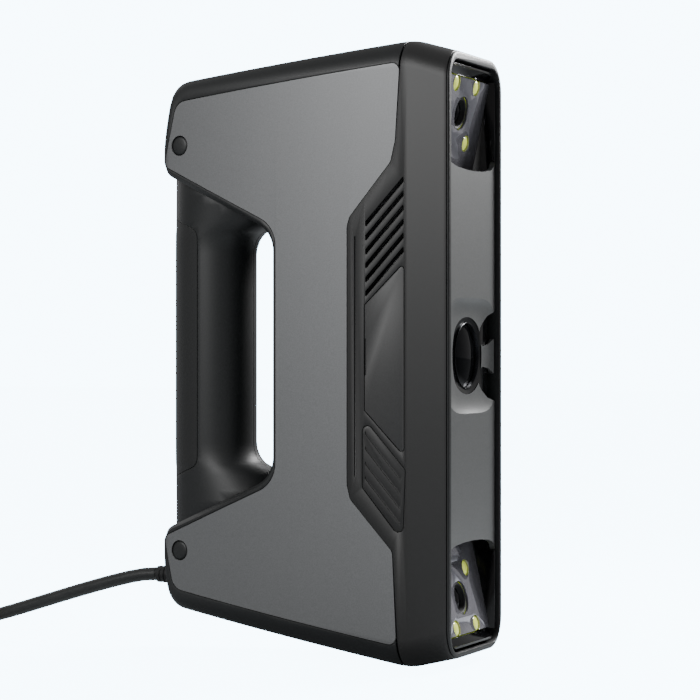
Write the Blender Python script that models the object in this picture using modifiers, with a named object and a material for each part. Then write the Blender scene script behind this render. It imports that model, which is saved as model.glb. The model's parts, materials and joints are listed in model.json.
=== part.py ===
"""Handheld structured-light 3-D scanner with a loop grip, standing on its nose, and its data cable.

Metres, +Z up. +X is the way the scanner looks, and the origin is under the middle of the body.
Side outlines are lists of (back, up, corner radius): "back" is the distance behind the front plane.
"""

import math

import bmesh
import bpy
from mathutils import Matrix, Vector

# Driving dimensions
DEPTH = 0.1300
WIDTH = 0.0580
GAP = 0.0003  # between neighbouring pieces
FRONT_X = DEPTH / 2
MID_UP = 0.1180  # the optics are symmetric about this height
TAPER_START = 0.020  # the sides are parallel up to here
TAPER_LENGTH = 1.020  # the sides then close in by back squared over this
FRONT_CORNER = 0.012  # corner radius across the body, at the front and at the back
BACK_CORNER = 0.0055
BACK_ROUND = 0.004  # rounding of the back corners, seen from above

SKIN = 0.0022  # outer covers
WALL = 0.0040  # from the outside to the inner cavity
LIP_WALL = 0.0035  # shell wall round the handle opening
BEZEL_DEPTH, BEZEL_FLANGE, BEZEL_RING = 0.0060, 0.0009, 0.0010
OPENING = (0.0264, 0.0046, 0.2312, 0.0075)  # half width, bottom, top, corner
FACE_FRONT, FACE_THICK = 0.0018, 0.0020
LINER_HALF = 0.0246
WINDOW_END = 0.1915  # lower end of the upper camera window
WINDOW_ARC = (  # the face plate's concave end: y, and the drop below the window's end
    (-0.0252, 0.0006), (-0.0150, 0.0026), (0, 0.0034), (0.0150, 0.0026), (0.0252, 0.0006),
)
LINER = [
    (0.0012, 0.2300, 0), (0.0088, 0.2300, 0), (0.0175, 0.1850, 0), (0.0042, 0.1850, 0),
    (0.0042, 0.1917, 0), (0.0012, 0.1917, 0),
]
LINER_ROOM = [
    (-0.002, 0.2290, 0), (0.0017, 0.2290, 0), (0.0041, 0.2265, 0), (0.0069, 0.2265, 0),
    (0.0154, 0.1866, 0), (-0.002, 0.1866, 0),
]
HOOD_NEAR, HOOD_FAR, HOOD_HALF = 0.0041, 0.0090, 0.0245
TILT = math.radians(12.1)  # each camera plate faces the middle
PLATE_CENTRE = (0.0070, 0.2123)  # back, up
LED_ACROSS, LED_ALONG, LED_RADIUS = 0.0105, 0.0111, 0.0030
LENS_HOLE = 0.0067
PROJECTOR_RADIUS = 0.0130
GRIP_BACK, GRIP_FRONT = 0.1300, 0.0965
GRIP_HALF = 0.0155
GRIP_STRAIGHT = (0.083, 0.159)  # the grip flares into the body below and above these
GRIP_BEND, GRIP_TURN = 0.0110, 0.01056  # radius of the flare, and how far round it the section goes
GRIP_UPS = (
    0.060, 0.068, 0.0724, 0.0745, 0.0775, 0.083, 0.121, 0.159, 0.1645, 0.1675, 0.1696, 0.174, 0.182,
)
STRAP_DEEP = 0.0016
SCREW_BACK, SCREW_UPS = 0.1200, (0.2022, 0.0398)
SCREW_HEAD, SCREW_SEAT = 0.0140, 0.0119  # half lengths over the heads, and between them
BUTTON_PLACE, BUTTON_LEAN = (0.1272, 0.2095), math.radians(14)
BUTTONS = (  # name, y, radius
    ("minus_button", -0.0095, 0.0030), ("start_button", 0.0, 0.0042), ("plus_button", 0.0095, 0.0030),
)
FAN_PLACE, FAN_HALF, FAN_THICK = (0.0520, 0.1650), 0.0150, 0.0080
GLAND_UP, GLAND_END = 0.0280, 0.0120  # height of the cable's exit, and how far its sleeve stands out

CORD_RADIUS = 0.0028
COIL_NEAR, COIL_FAR = -0.2140, -0.3260  # centres of the oval coil's two round ends
COIL_INNER, COIL_OUTER, COIL_HEIGHT = 0.0178, 0.0290, 0.0224
TIE_X, TIE_HALF, TIE_WALL = -0.2350, 0.0060, 0.0010
CORD_RUN = [  # from the sleeve to the floor
    (-0.0754, 0, 0.0296), (-0.0790, 0, 0.0295), (-0.0880, 0, 0.0279), (-0.0990, 0, 0.0251),
    (-0.1110, 0, 0.0217), (-0.1230, 0, 0.0181), (-0.1350, 0, 0.0144), (-0.1470, 0, 0.0108),
    (-0.1590, 0.0014, 0.0076), (-0.1700, 0.0061, 0.0048), (-0.1770, 0.0100, 0.0037), (-0.1840, 0.0143, 0.0032),
]
CORD_STEP = 5 * CORD_RADIUS
TAIL_SHARES, TAIL_RADIUS = (0.15, 0.53), 0.0234  # the end that lies on the coil, as shares of one turn
TAIL_POINTS = 15
TAIL_UP, PLUG_UP = COIL_HEIGHT + GAP + CORD_RADIUS, COIL_HEIGHT + GAP + 0.0040

TOP_EDGE = [(-0.002, 0.2338, 0), (0.0175, 0.2394, 0.020), (0.1238, 0.2279, 0.008), (0.1304, 0.1975, 0)]
BOTTOM_EDGE = [(-0.002, 0.0030, 0), (0.0193, -0.0021, 0.020), (0.1255, 0.0168, 0.008), (0.1306, 0.0415, 0)]
LIFT = 0.00156  # everything but the cable is raised by this, which sets the nose's lowest edge on the floor
CUTOUT = [
    (0.160, 0.2220, 0), (0.1302, 0.2220, 0), (0.1302, 0.1924, 0.010), (0.0760, 0.1665, 0.012),
    (0.0760, 0.0703, 0.012), (0.1302, 0.0471, 0.010), (0.1302, 0.0120, 0), (0.160, 0.0120, 0),
]
SEAM = [
    (0.0219, 0.2000, 0.008), (0.0238, 0.1920, 0.004), (0.0411, 0.1714, 0.003), (0.0422, 0.1677, 0.002),
    (0.0422, 0.0683, 0.002), (0.0408, 0.0628, 0.003), (0.0231, 0.0433, 0.004),
]
WING = [(0.0012, 0.2500, 0), (0.0185, 0.2500, 0), *SEAM, (0.0200, -0.0100, 0), (0.0012, -0.0100, 0)]
COVER = [
    (0.0203, 0.2300, 0.003), *((b + GAP, z, r) for b, z, r in SEAM), (0.0217, 0.0072, 0.003),
    (0.1230, 0.0245, 0.006), (0.1278, 0.0450, 0.003), (0.0740, 0.0681, 0.012), (0.0740, 0.1686, 0.012),
    (0.1278, 0.1945, 0.003), (0.1215, 0.2196, 0.006),
]
BADGE = [(0.0348, 0.1374, 0.001), (0.0348, 0.0971, 0.001), (0.0185, 0.0801, 0.001), (0.0185, 0.1533, 0.001)]
HATCH = [(0.0357, 0.0944, 0.002), (0.0357, 0.0675, 0.002), (0.0190, 0.0475, 0.002), (0.0180, 0.0745, 0.002)]
STRAP = [(0.1140, 0.1680, 0.004), (0.1140, 0.0740, 0.004), (0.1400, 0.0640, 0), (0.1400, 0.1780, 0)]

SIDE_TO_WORLD = Matrix(((-1, 0, 0, FRONT_X), (0, 0, 1, 0), (0, 1, 0, 0), (0, 0, 0, 1)))
FRONT_TO_WORLD = Matrix(((0, 0, -1, FRONT_X), (-1, 0, 0, 0), (0, 1, 0, 0), (0, 0, 0, 1)))
SIDES = (("right", -1), ("left", 1))

for old in list(bpy.data.objects):
    bpy.data.objects.remove(old, do_unlink=True)

scanner = bpy.data.collections.new("handheld_scanner")
cutters = bpy.data.collections.new("cutters")
bpy.context.scene.collection.children.link(scanner)
bpy.context.scene.collection.children.link(cutters)


# Materials


def material(name, colour, roughness, metallic=0.0):
    made = bpy.data.materials.new(name)
    made.use_nodes = True
    shader = made.node_tree.nodes["Principled BSDF"]
    shader.inputs["Base Color"].default_value = (*colour, 1)
    shader.inputs["Roughness"].default_value = roughness
    shader.inputs["Metallic"].default_value = metallic
    return made


GREY = material("grey_painted_plastic", (0.20, 0.20, 0.21), 0.35, 0.4)
BLACK = material("black_textured_plastic", (0.045, 0.047, 0.05), 0.55)
CHARCOAL = material("charcoal_plastic", (0.042, 0.042, 0.042), 0.5)
BADGE_GREY = material("badge_grey_plastic", (0.08, 0.08, 0.08), 0.45)
RUBBER = material("black_rubber", (0.014, 0.016, 0.018), 0.75)
GLOSS = material("gloss_black_plastic", (0.006, 0.006, 0.006), 0.08)
PLATE = material("camera_plate_coating", (0.14, 0.14, 0.155), 0.15, 0.8)
GLASS = material("lens_glass", (0.01, 0.01, 0.012), 0.03)
LED_BOARD = material("led_board", (0.55, 0.62, 0.12), 0.4)
STEEL = material("bright_steel", (0.6, 0.6, 0.6), 0.25, 1.0)
ALUMINIUM = material("machined_aluminium", (0.5, 0.5, 0.51), 0.4, 1.0)
BOARD = material("circuit_board", (0.02, 0.12, 0.06), 0.5)
CABLE = material("cable_jacket", (0.03, 0.032, 0.032), 0.5)


# Making, placing and cutting


def add(name, mesh, finish=None):
    """A new part, or a cutter where it has no finish."""
    made = bpy.data.objects.new(name, mesh)
    if finish:
        mesh.materials.append(finish)
        scanner.objects.link(made)
    else:
        cutters.objects.link(made)
        made.hide_render = True
        made.display_type = "WIRE"
    return made


def from_bmesh(name, shape, finish=None):
    bmesh.ops.recalc_face_normals(shape, faces=shape.faces)
    mesh = bpy.data.meshes.new(name)
    shape.to_mesh(mesh)
    shape.free()
    return add(name, mesh, finish)


def smooth(part, angle=30):
    part.data.shade_smooth()
    part.data.set_sharp_from_angle(angle=math.radians(angle))


def box(name, low, high, finish=None, place=None):
    """A box between two corners in (x, y, z), then moved by place."""
    shape = bmesh.new()
    middle = (Vector(low) + Vector(high)) / 2
    size = Matrix.Diagonal((*(Vector(high) - Vector(low)), 1))
    bmesh.ops.create_cube(shape, size=1, matrix=(place or Matrix()) @ Matrix.Translation(middle) @ size)
    return from_bmesh(name, shape, finish)


def cylinder(name, radius, low, high, place, finish=None, segments=24, top=None):
    """A cylinder or cone along local Z between low and high, then moved by place."""
    shape = bmesh.new()
    bmesh.ops.create_cone(
        shape, cap_ends=True, segments=segments, radius1=radius, radius2=radius if top is None else top,
        depth=high - low, matrix=place @ Matrix.Translation((0, 0, (low + high) / 2)),
    )
    made = from_bmesh(name, shape, finish)
    smooth(made)
    return made


def turned(name, profile, place, finish, steps=28):
    """A profile of (radius, along) that runs top to bottom on its outer side, turned about local Z."""
    mesh = bpy.data.meshes.new(name)
    edges = [(i, i + 1) for i in range(len(profile) - 1)]
    mesh.from_pydata([(radius, 0, along) for radius, along in profile], edges, [])
    made = add(name, mesh, finish)
    screw = made.modifiers.new("turn", "SCREW")
    screw.steps = screw.render_steps = steps
    screw.use_merge_vertices = True
    screw.merge_threshold = 0.00001
    screw.use_smooth_shade = False
    made.matrix_world = place
    return made


def rounded(points, closed=True, steps=4):
    """The outline with each corner (back, up, radius) drawn as an arc."""
    ring = []
    for i, (back, up, radius) in enumerate(points):
        here = Vector((back, up))
        if radius <= 0 or (not closed and i in (0, len(points) - 1)):
            ring.append(here)
            continue
        before = (Vector(points[i - 1][:2]) - here).normalized()
        after = (Vector(points[(i + 1) % len(points)][:2]) - here).normalized()
        half = before.angle(after) / 2
        centre = here + (before + after).normalized() * radius / math.sin(half)
        start = here + before * radius / math.tan(half) - centre
        turn = -1 if before.cross(after) > 0 else 1
        for step in range(steps + 1):
            angle = turn * (math.pi - 2 * half) * step / steps
            cosine, sine = math.cos(angle), math.sin(angle)
            across, along = cosine * start.x - sine * start.y, sine * start.x + cosine * start.y
            ring.append(centre + Vector((across, along)))
    return ring


def grown(points, by):
    """The outline moved outwards by a distance, its corner radii with it."""
    count = len(points)
    area = sum(points[i - 1][0] * points[i][1] - points[i][0] * points[i - 1][1] for i in range(count))
    outward = 1 if area > 0 else -1
    moved = []
    for i, (back, up, radius) in enumerate(points):
        here = Vector((back, up))
        enter = (here - Vector(points[i - 1][:2])).normalized()
        leave = (Vector(points[(i + 1) % count][:2]) - here).normalized()
        side = Vector((enter.y, -enter.x)) * outward
        other = Vector((leave.y, -leave.x)) * outward
        corner = here + (side + other) * by / (1 + side.dot(other))
        convex = enter.cross(leave) * outward > 0
        moved.append((corner.x, corner.y, max(radius + (by if convex else -by), 0) if radius else 0))
    return moved


def extrusion(name, ring, low, high, to_world, finish=None):
    """A flat outline extruded along local Z from low to high, by a filled curve made a mesh."""
    curve = bpy.data.curves.new(name, "CURVE")
    curve.dimensions = "2D"
    curve.fill_mode = "BOTH"
    curve.extrude = (high - low) / 2
    spline = curve.splines.new("POLY")
    spline.points.add(len(ring) - 1)
    spline.use_cyclic_u = True
    for point, at in zip(spline.points, ring):
        point.co = (at[0], at[1], 0, 1)
    guide = bpy.data.objects.new(name + "_outline", curve)
    cutters.objects.link(guide)
    bpy.context.view_layer.update()
    mesh = bpy.data.meshes.new_from_object(guide.evaluated_get(bpy.context.evaluated_depsgraph_get()))
    bpy.data.objects.remove(guide)
    shape = bmesh.new()
    shape.from_mesh(mesh)
    bpy.data.meshes.remove(mesh)
    bmesh.ops.remove_doubles(shape, verts=shape.verts, dist=0.000002)
    middle = Matrix.Translation((0, 0, (low + high) / 2))
    bmesh.ops.transform(shape, matrix=to_world @ middle, verts=shape.verts)
    return from_bmesh(name, shape, finish)


def side_prism(name, points, low, high, finish=None, steps=4):
    """A side outline with rounded corners, extruded across the body from y = low to high."""
    return extrusion(name, rounded(points, steps=steps), low, high, SIDE_TO_WORLD, finish)


def front_prism(name, points, near, far, finish=None, steps=4):
    """A front outline of (y, up, radius), extruded from near to far behind the front plane."""
    ring = [Vector((-at.x, at.y)) for at in rounded(points, steps=steps)]
    return extrusion(name, ring, near, far, FRONT_TO_WORLD, finish)


def rectangle(half, bottom, top, radius):
    return [(-half, bottom, radius), (half, bottom, radius), (half, top, radius), (-half, top, radius)]


def rim(by):
    """The front opening's outline, grown."""
    half, bottom, top, radius = OPENING
    return rectangle(half + by, bottom - by, top + by, radius + by)


def loft(name, rings, finish=None):
    """Rings of equally many points joined by quads, with both ends closed."""
    shape = bmesh.new()
    rows = [[shape.verts.new(at) for at in ring] for ring in rings]
    for first, second in zip(rows, rows[1:]):
        for i in range(len(first)):
            j = (i + 1) % len(first)
            shape.faces.new((first[i], first[j], second[j], second[i]))
    shape.faces.new(rows[0])
    shape.faces.new(rows[-1])
    return from_bmesh(name, shape, finish)


def boolean(part, other, operation):
    step = part.modifiers.new(other.name, "BOOLEAN")
    step.operation = operation
    step.object = other
    return part


def cut(part, *others):
    for other in others:
        boolean(part, other, "DIFFERENCE")
    return part


def keep(part, other):
    return boolean(part, other, "INTERSECT")


def join(part, *others):
    for other in others:
        boolean(part, other, "UNION")
    return part


def at_side(back, up, across=0.0):
    """World place of a point given as back, up and y."""
    return Vector((FRONT_X - back, across, up))


# The body's outer form, at any inset


def height_on(path, back):
    for first, second in zip(path, path[1:]):
        if first.x <= back <= second.x:
            return first.y + (second.y - first.y) * (back - first.x) / (second.x - first.x)
    return path[-1].y


def half_width(back):
    width = WIDTH / 2 - max(back - TAPER_START, 0) ** 2 / TAPER_LENGTH
    rounding = min(max(back - (DEPTH - 0.0005 - BACK_ROUND), 0), BACK_ROUND)
    return width - BACK_ROUND + math.sqrt(BACK_ROUND**2 - rounding**2)


def envelope(name, inset=0.0):
    """Cross sections from front to back: rounded rectangles that follow the side and the plan outline."""
    top = rounded(TOP_EDGE, closed=False)
    bottom = rounded(BOTTOM_EDGE, closed=False)
    stations = [0.0, 0.0012, 0.006, 0.012, 0.018, 0.028, 0.042, 0.058, 0.074, 0.090, 0.104, 0.116]
    stations += [0.1200, 0.1225, 0.1245, 0.1262, 0.1278, 0.1288, 0.1295]
    rings = []
    for back in stations:
        half = half_width(back) - inset
        edge = 0.0010 if back == 0 else 0.0
        high = height_on(top, back) - inset - edge
        low = height_on(bottom, back) + inset + edge
        radius = FRONT_CORNER + (BACK_CORNER - FRONT_CORNER) * back / DEPTH - inset
        outline = rounded(rectangle(half - edge, low, high, min(radius, half * 0.7)), steps=4)
        at = back if back < 0.1294 else back - inset
        rings.append([at_side(at, ring.y, ring.x) for ring in outline])
    return loft(name, rings)


def half_space(name, sign):
    """Everything on one side of the middle plane, less half a gap."""
    near, far = sorted((sign * GAP / 2, sign * 0.060))
    return box(name, (-0.120, near, -0.050), (0.120, far, 0.300))


outer = envelope("outer_form")
under_skin = envelope("form_under_skin", SKIN)
pocket_floor = envelope("form_under_pocket", SKIN + GAP)
cavity = envelope("form_of_cavity", WALL)
cut(cavity, side_prism("cavity_stop", grown(CUTOUT, LIP_WALL), -0.050, 0.050))
opening = side_prism("handle_opening", CUTOUT, -0.050, 0.050)


# Covers, wings and shells, one of each on either side


def side_range(sign, near, far):
    return sorted((sign * near, sign * far))


def cap_place(sign, up):
    """The surface point under a screw cap, its local Z pointing out of the tapered side."""
    slope = math.atan(2 * (SCREW_BACK - TAPER_START) / TAPER_LENGTH)
    turn = Matrix.Rotation(-sign * math.pi / 2, 4, "X")
    lean = Matrix.Rotation(sign * slope, 4, "Z")
    place = at_side(SCREW_BACK, up, sign * half_width(SCREW_BACK))
    return Matrix.Translation(place) @ lean @ turn


def build_cover(side, sign):
    near, far = side_range(sign, 0.0120, 0.0400)
    cover = side_prism(side + "_cover", COVER, near, far, GREY)
    keep(cover, outer)
    cut(cover, under_skin)
    for level, up in zip(("upper", "lower"), SCREW_UPS):
        cut(cover, cylinder(f"{side}_{level}_cap_hole", 0.00405, -0.006, 0.006, cap_place(sign, up)))
        cap = turned(
            f"{side}_{level}_screw_cap",
            [(0, 0.0002), (0.0031, 0.0002), (0.00375, -0.0003), (0.00375, -0.0019), (0, -0.0019)],
            cap_place(sign, up), BLACK, steps=20,
        )
        smooth(cap)


def vent_slots(side, sign):
    """Six slanted slots and one long upright slot, as cutters through the wing."""
    near, far = side_range(sign, 0.0200, 0.0400)
    slots = []
    for i in range(6):
        back, up, rise = 0.0346, 0.1683 - 0.00536 * i, 0.0172
        slot = [(back, up - 0.0012, 0), (back, up + 0.0012, 0),
                (back - 0.0161, up + rise + 0.0012, 0), (back - 0.0161, up + rise - 0.0012, 0)]
        slots.append(side_prism(f"{side}_vent_{i}", slot, near, far))
    upright = [(0.0393, 0.0715, 0), (0.0393, 0.1639, 0), (0.0385, 0.1639, 0), (0.0385, 0.0715, 0)]
    slots.append(side_prism(side + "_upright_slot", upright, *side_range(sign, 0.0280, 0.0400)))
    return slots


def build_wing(side, sign, slots):
    near, far = side_range(sign, GAP / 2, 0.0400)
    wing = side_prism(side + "_wing", WING, near, far, CHARCOAL)
    keep(wing, outer)
    cut(wing, under_skin, bezel_room, *slots)
    near, far = side_range(sign, 0.0278, 0.0400)
    cut(wing, side_prism(side + "_badge_recess", grown(BADGE, GAP), near, far))
    cut(wing, side_prism(side + "_hatch_recess", grown(HATCH, GAP), near, far))
    near, far = side_range(sign, 0.0278 + GAP, 0.0288)
    side_prism(side + "_badge_plate", BADGE, near, far, BADGE_GREY, steps=2)
    hatch = side_prism(side + "_port_hatch", HATCH, near, far, CHARCOAL, steps=2)
    near, far = side_range(sign, 0.0284, 0.0400)
    for i in range(4):
        back, up = 0.0346, 0.0884 - 0.0057 * i
        groove = [(back, up - 0.0005, 0), (back, up + 0.0005, 0),
                  (back - 0.0145, up - 0.0167, 0), (back - 0.0145, up - 0.0177, 0)]
        cut(hatch, side_prism(f"{side}_hatch_groove_{i}", groove, near, far))


def boss(side, sign, up, name):
    """A screw boss inside a shell, from the side wall to the middle plane."""
    along = Matrix.Translation(at_side(SCREW_BACK, up)) @ Matrix.Rotation(-sign * math.pi / 2, 4, "X")
    return along, cylinder(name, 0.0046, GAP / 2, 0.0155, along, segments=16)


def build_shell(side, sign, slots):
    shell = envelope(side + "_shell_form")
    cutters.objects.unlink(shell)
    scanner.objects.link(shell)
    shell.name = side + "_shell"
    shell.hide_render = False
    shell.display_type = "TEXTURED"
    shell.data.materials.append(BLACK)
    pocket = side_prism(side + "_cover_pocket", grown(COVER, GAP), *side_range(sign, 0.0117, 0.0400))
    front = side_prism(side + "_wing_pocket", [(-0.010, 0.260, 0), (0.0188, 0.260, 0),
                       *((b + 0.0006, z, r) for b, z, r in SEAM), (0.0203, -0.020, 0), (-0.010, -0.020, 0)],
                       *side_range(sign, -0.0010, 0.0400))
    keep(shell, half_space(side + "_half", sign))
    cut(shell, cavity, opening, cut(pocket, pocket_floor), cut(front, pocket_floor))
    cut(shell, side_prism(side + "_nose_room", rectangle(0.0066, -0.020, 0.260, 0), -0.050, 0.050))
    for level, up in zip(("upper", "lower"), SCREW_UPS):
        along, post = boss(side, sign, up, f"{side}_{level}_boss")
        join(shell, post)
        cut(shell, cylinder(f"{side}_{level}_bore", 0.0019, -0.001, 0.030, along, segments=16))
        cut(shell, cylinder(f"{side}_{level}_head_room", 0.0036, 0.0115, 0.030, along, segments=16))
        cut(shell, cylinder(f"{side}_{level}_cap_seat", 0.00405, -0.0019 - GAP, 0.006, cap_place(sign, up)))
    cut(shell, button_recess, button_window, gland_hole, *slots)


button_place = (
    Matrix.Translation(at_side(*BUTTON_PLACE)) @ Matrix.Rotation(BUTTON_LEAN, 4, "Y")
    @ Matrix.Rotation(-math.pi / 2, 4, "Y")
)
gland_place = Matrix.Translation(at_side(0.1280, GLAND_UP)) @ Matrix.Rotation(-math.pi / 2, 4, "Y")
bezel_room = front_prism("bezel_room", rim(BEZEL_RING + GAP), -0.010, BEZEL_DEPTH + GAP)
button_recess = box("button_recess", (-0.0056, -0.0143, -0.0013), (0.0056, 0.0143, 0.010), place=button_place)
button_window = box("button_window", (-0.0046, -0.0131, -0.0066), (0.0046, 0.0131, 0.005), place=button_place)
gland_hole = cylinder("gland_hole", 0.0040, -0.020, 0.020, gland_place, segments=20)
for side, sign in SIDES:
    slots = vent_slots(side, sign)
    build_cover(side, sign)
    build_wing(side, sign, slots)
    build_shell(side, sign, slots)

for level, up in zip(("upper", "lower"), SCREW_UPS):
    turned(
        f"{level}_clamp_screw",
        [(0, SCREW_HEAD), (0.0032, SCREW_HEAD), (0.0032, SCREW_SEAT), (0.0016, SCREW_SEAT),
         (0.0016, -SCREW_SEAT), (0.0032, -SCREW_SEAT), (0.0032, -SCREW_HEAD), (0, -SCREW_HEAD)],
        Matrix.Translation(at_side(SCREW_BACK, up)) @ Matrix.Rotation(math.pi / 2, 4, "X"), STEEL, steps=16,
    )


# Front: bezel, face plate and the hood round the projector lens

bezel = front_prism("front_bezel", rectangle(0.040, -0.020, 0.260, 0), -0.010, BEZEL_FLANGE, BLACK)
join(bezel, front_prism("bezel_ring", rim(BEZEL_RING), 0, BEZEL_DEPTH))
keep(bezel, outer)
cut(bezel, front_prism("front_opening", rim(0), -0.010, 0.020))

window_arc = [(y, WINDOW_END - drop) for y, drop in WINDOW_ARC]
face_ring = [(y, up, 0) for y, up in window_arc] + [(-y, 2 * MID_UP - up, 0) for y, up in window_arc]
face = front_prism("face_plate", face_ring, FACE_FRONT, FACE_FRONT + FACE_THICK, GREY)
hood_window = rectangle(0.0226, MID_UP - 0.0226, MID_UP + 0.0226, 0.010)
cut(face, front_prism("hood_window", hood_window, -0.010, 0.020))


def hood_ring(back, radius, half, steps=28):
    """A ring that is square-sided at half and round at radius, at one depth."""
    ring = []
    for i in range(steps):
        angle = 2 * math.pi * (i + 0.5) / steps
        y, z = math.cos(angle), math.sin(angle)
        reach = min(half / max(abs(y), abs(z)), half * 1.22) if half else radius
        ring.append(at_side(back, MID_UP + reach * z, reach * y))
    return ring


hood = box("projector_hood", at_side(HOOD_FAR, MID_UP - HOOD_HALF, -HOOD_HALF),
           at_side(HOOD_NEAR, MID_UP + HOOD_HALF, HOOD_HALF), GLOSS)
cut(hood, loft("hood_funnel", [hood_ring(0.0020, 0, 0.0246), hood_ring(0.0072, PROJECTOR_RADIUS + GAP, 0),
                               hood_ring(0.0120, PROJECTOR_RADIUS + GAP, 0)]))


# Cameras: the upper set is built in its tilted frame, and the lower one is the same set turned over

upper_place = Matrix.Translation(at_side(*PLATE_CENTRE)) @ Matrix.Rotation(TILT, 4, "Y")
turn_over = Matrix.Translation((0, 0, 2 * MID_UP)) @ Matrix.Rotation(math.pi, 4, "X")
forward = Matrix.Rotation(math.pi / 2, 4, "Y")
led_places = [(y, z) for y in (-LED_ACROSS, LED_ACROSS) for z in (-LED_ALONG, LED_ALONG)]


def build_camera(level, place, flip):
    liner = side_prism(level + "_window_liner", LINER, -LINER_HALF, LINER_HALF, GLOSS)
    corners = rectangle(LINER_HALF + 0.0001, 0.1000, 0.2301, 0.0075)
    keep(liner, front_prism(level + "_liner_corners", corners, -0.010, 0.030))
    cut(liner, side_prism(level + "_window_room", LINER_ROOM, -LINER_HALF + 0.0010, LINER_HALF - 0.0010))
    cut(liner, cylinder(level + "_barrel_hole", 0.0068, -0.030, 0.010, upper_place @ forward))
    plate = box(level + "_camera_plate", (-0.0010, -LINER_HALF + 0.0013, -0.0245),
                (0, LINER_HALF - 0.0013, 0.0138), PLATE, upper_place)
    cut(plate, cylinder(level + "_lens_hole", LENS_HOLE, -0.010, 0.010, upper_place @ forward))
    board = box(level + "_led_board", (-0.0023, -0.0200, -0.0150), (-0.0013, 0.0200, 0.0128), LED_BOARD,
                upper_place)
    cut(board, cylinder(level + "_board_hole", 0.0068, -0.010, 0.010, upper_place @ forward))
    for i, (y, z) in enumerate(led_places):
        spot = upper_place @ Matrix.Translation((0, y, z)) @ forward
        cut(plate, cylinder(f"{level}_led_hole_{i}", LED_RADIUS + GAP, -0.010, 0.010, spot, segments=16))
        join(board, cylinder(f"{level}_led_{i}", LED_RADIUS, -0.0018, -0.0004, spot, segments=16))
    lens_place = upper_place @ forward
    barrel = turned(
        level + "_lens_barrel",
        [(0.0054, -0.0008), (0.0064, -0.0008), (0.0064, -0.0110), (0.0050, -0.0110), (0.0050, -0.0028),
         (0.0054, -0.0028), (0.0054, -0.0008)],
        lens_place, BLACK, steps=24,
    )
    glass = turned(
        level + "_lens_glass",
        [(0, -0.0017), (0.0026, -0.0019), (0.0047, -0.0026), (0.0047, -0.0050), (0, -0.0050)],
        lens_place, GLASS, steps=24,
    )
    module = box(level + "_camera_module", (-0.0235, -0.0120, -0.0120), (-0.0113, 0.0120, 0.0120), ALUMINIUM,
                 upper_place)
    for part in (liner, plate, board, barrel, glass, module):
        if flip:
            move_cutters(part, turn_over)
            part.matrix_world = turn_over @ part.matrix_world


def move_cutters(part, by):
    """Moves a part's own cutters with it."""
    for step in part.modifiers:
        if step.type == "BOOLEAN":
            step.object.matrix_world = by @ step.object.matrix_world


build_camera("upper", upper_place, False)
build_camera("lower", upper_place, True)


# Projector behind the hood

projector_place = Matrix.Translation(at_side(0, MID_UP)) @ forward
turned("projector_lens_ring", [(0.0119, -0.0037), (0.0129, -0.0037), (0.0129, -0.0087), (0.0119, -0.0087),
                               (0.0119, -0.0037)], projector_place, STEEL, steps=32)
turned("projector_barrel", [(0.0119, -0.0093), (0.0129, -0.0093), (0.0129, -0.0355), (0.0119, -0.0355),
                            (0.0119, -0.0093)], projector_place, BLACK, steps=28)
turned("projector_lens_glass", [(0, -0.0042), (0.0060, -0.0048), (0.0115, -0.0064), (0.0115, -0.0110),
                                (0, -0.0110)], projector_place, GLASS, steps=28)
box("projector_engine", at_side(0.0650, 0.1000, -0.0170), at_side(0.0358, 0.1340, 0.0170), ALUMINIUM)
sink = box("projector_heatsink", at_side(0.0650, 0.1343, -0.0170), at_side(0.0358, 0.1365, 0.0170), ALUMINIUM)
for i in range(6):
    y = -0.0170 + 0.0060 * i
    join(sink, box(f"sink_fin_{i}", at_side(0.0650, 0.1355, y + 0.0001), at_side(0.0358, 0.1440, y + 0.0016)))
bench = box("optical_bench", at_side(0.0355, 0.0280, -0.0200), at_side(0.0330, 0.2080, 0.0200), ALUMINIUM)
cut(bench, cylinder("bench_projector_hole", 0.0134, -0.060, 0, projector_place))
for name, up in (("bench_upper_slot", 0.1720), ("bench_lower_slot", 0.0640)):
    cut(bench, box(name, at_side(0.0400, up - 0.0140, -0.0120), at_side(0.0300, up + 0.0140, 0.0120)))


# Electronics and cooling

main_board = box("main_board", at_side(0.0700, 0.0300, 0.0060), at_side(0.0370, 0.0920, 0.0076), BOARD)
join(main_board, box("processor", at_side(0.0600, 0.0600, 0.0020), at_side(0.0460, 0.0740, 0.0065)),
     box("data_port", at_side(0.0690, 0.0330, -0.0010), at_side(0.0560, 0.0430, 0.0065)))
fan_place = Matrix.Translation(at_side(*FAN_PLACE)) @ Matrix.Rotation(math.pi / 2, 4, "X")
fan_corner = Vector((FAN_HALF, FAN_HALF, FAN_THICK / 2))
fan_frame = box("fan_frame", -fan_corner, fan_corner, BLACK, fan_place)
cut(fan_frame, cylinder("fan_throat", 0.0138, -0.0028, 0.010, fan_place, segments=32))
for i in range(4):
    quarter = fan_place @ Matrix.Rotation(math.pi * (i / 2 + 0.25), 4, "Z")
    cut(fan_frame, box(f"fan_outlet_{i}", (0.0062, -0.0045, -0.010), (0.0128, 0.0045, 0), place=quarter))
rotor = cylinder("fan_rotor", 0.0058, -0.0022, 0.0034, fan_place, CHARCOAL, segments=20)
rotor.data.transform(fan_place.inverted())
rotor.matrix_world = fan_place
for i in range(7):
    pitch = Matrix.Rotation(2 * math.pi * i / 7, 4, "Z") @ Matrix.Rotation(math.radians(32), 4, "X")
    join(rotor, box(f"fan_blade_{i}", (0.0040, -0.0032, -0.0004), (0.0130, 0.0032, 0.0004),
                    place=fan_place @ pitch @ Matrix.Translation((0, 0, 0.0001))))


# Grip between the two lobes: two shells and a rubber strap down the back


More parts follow.
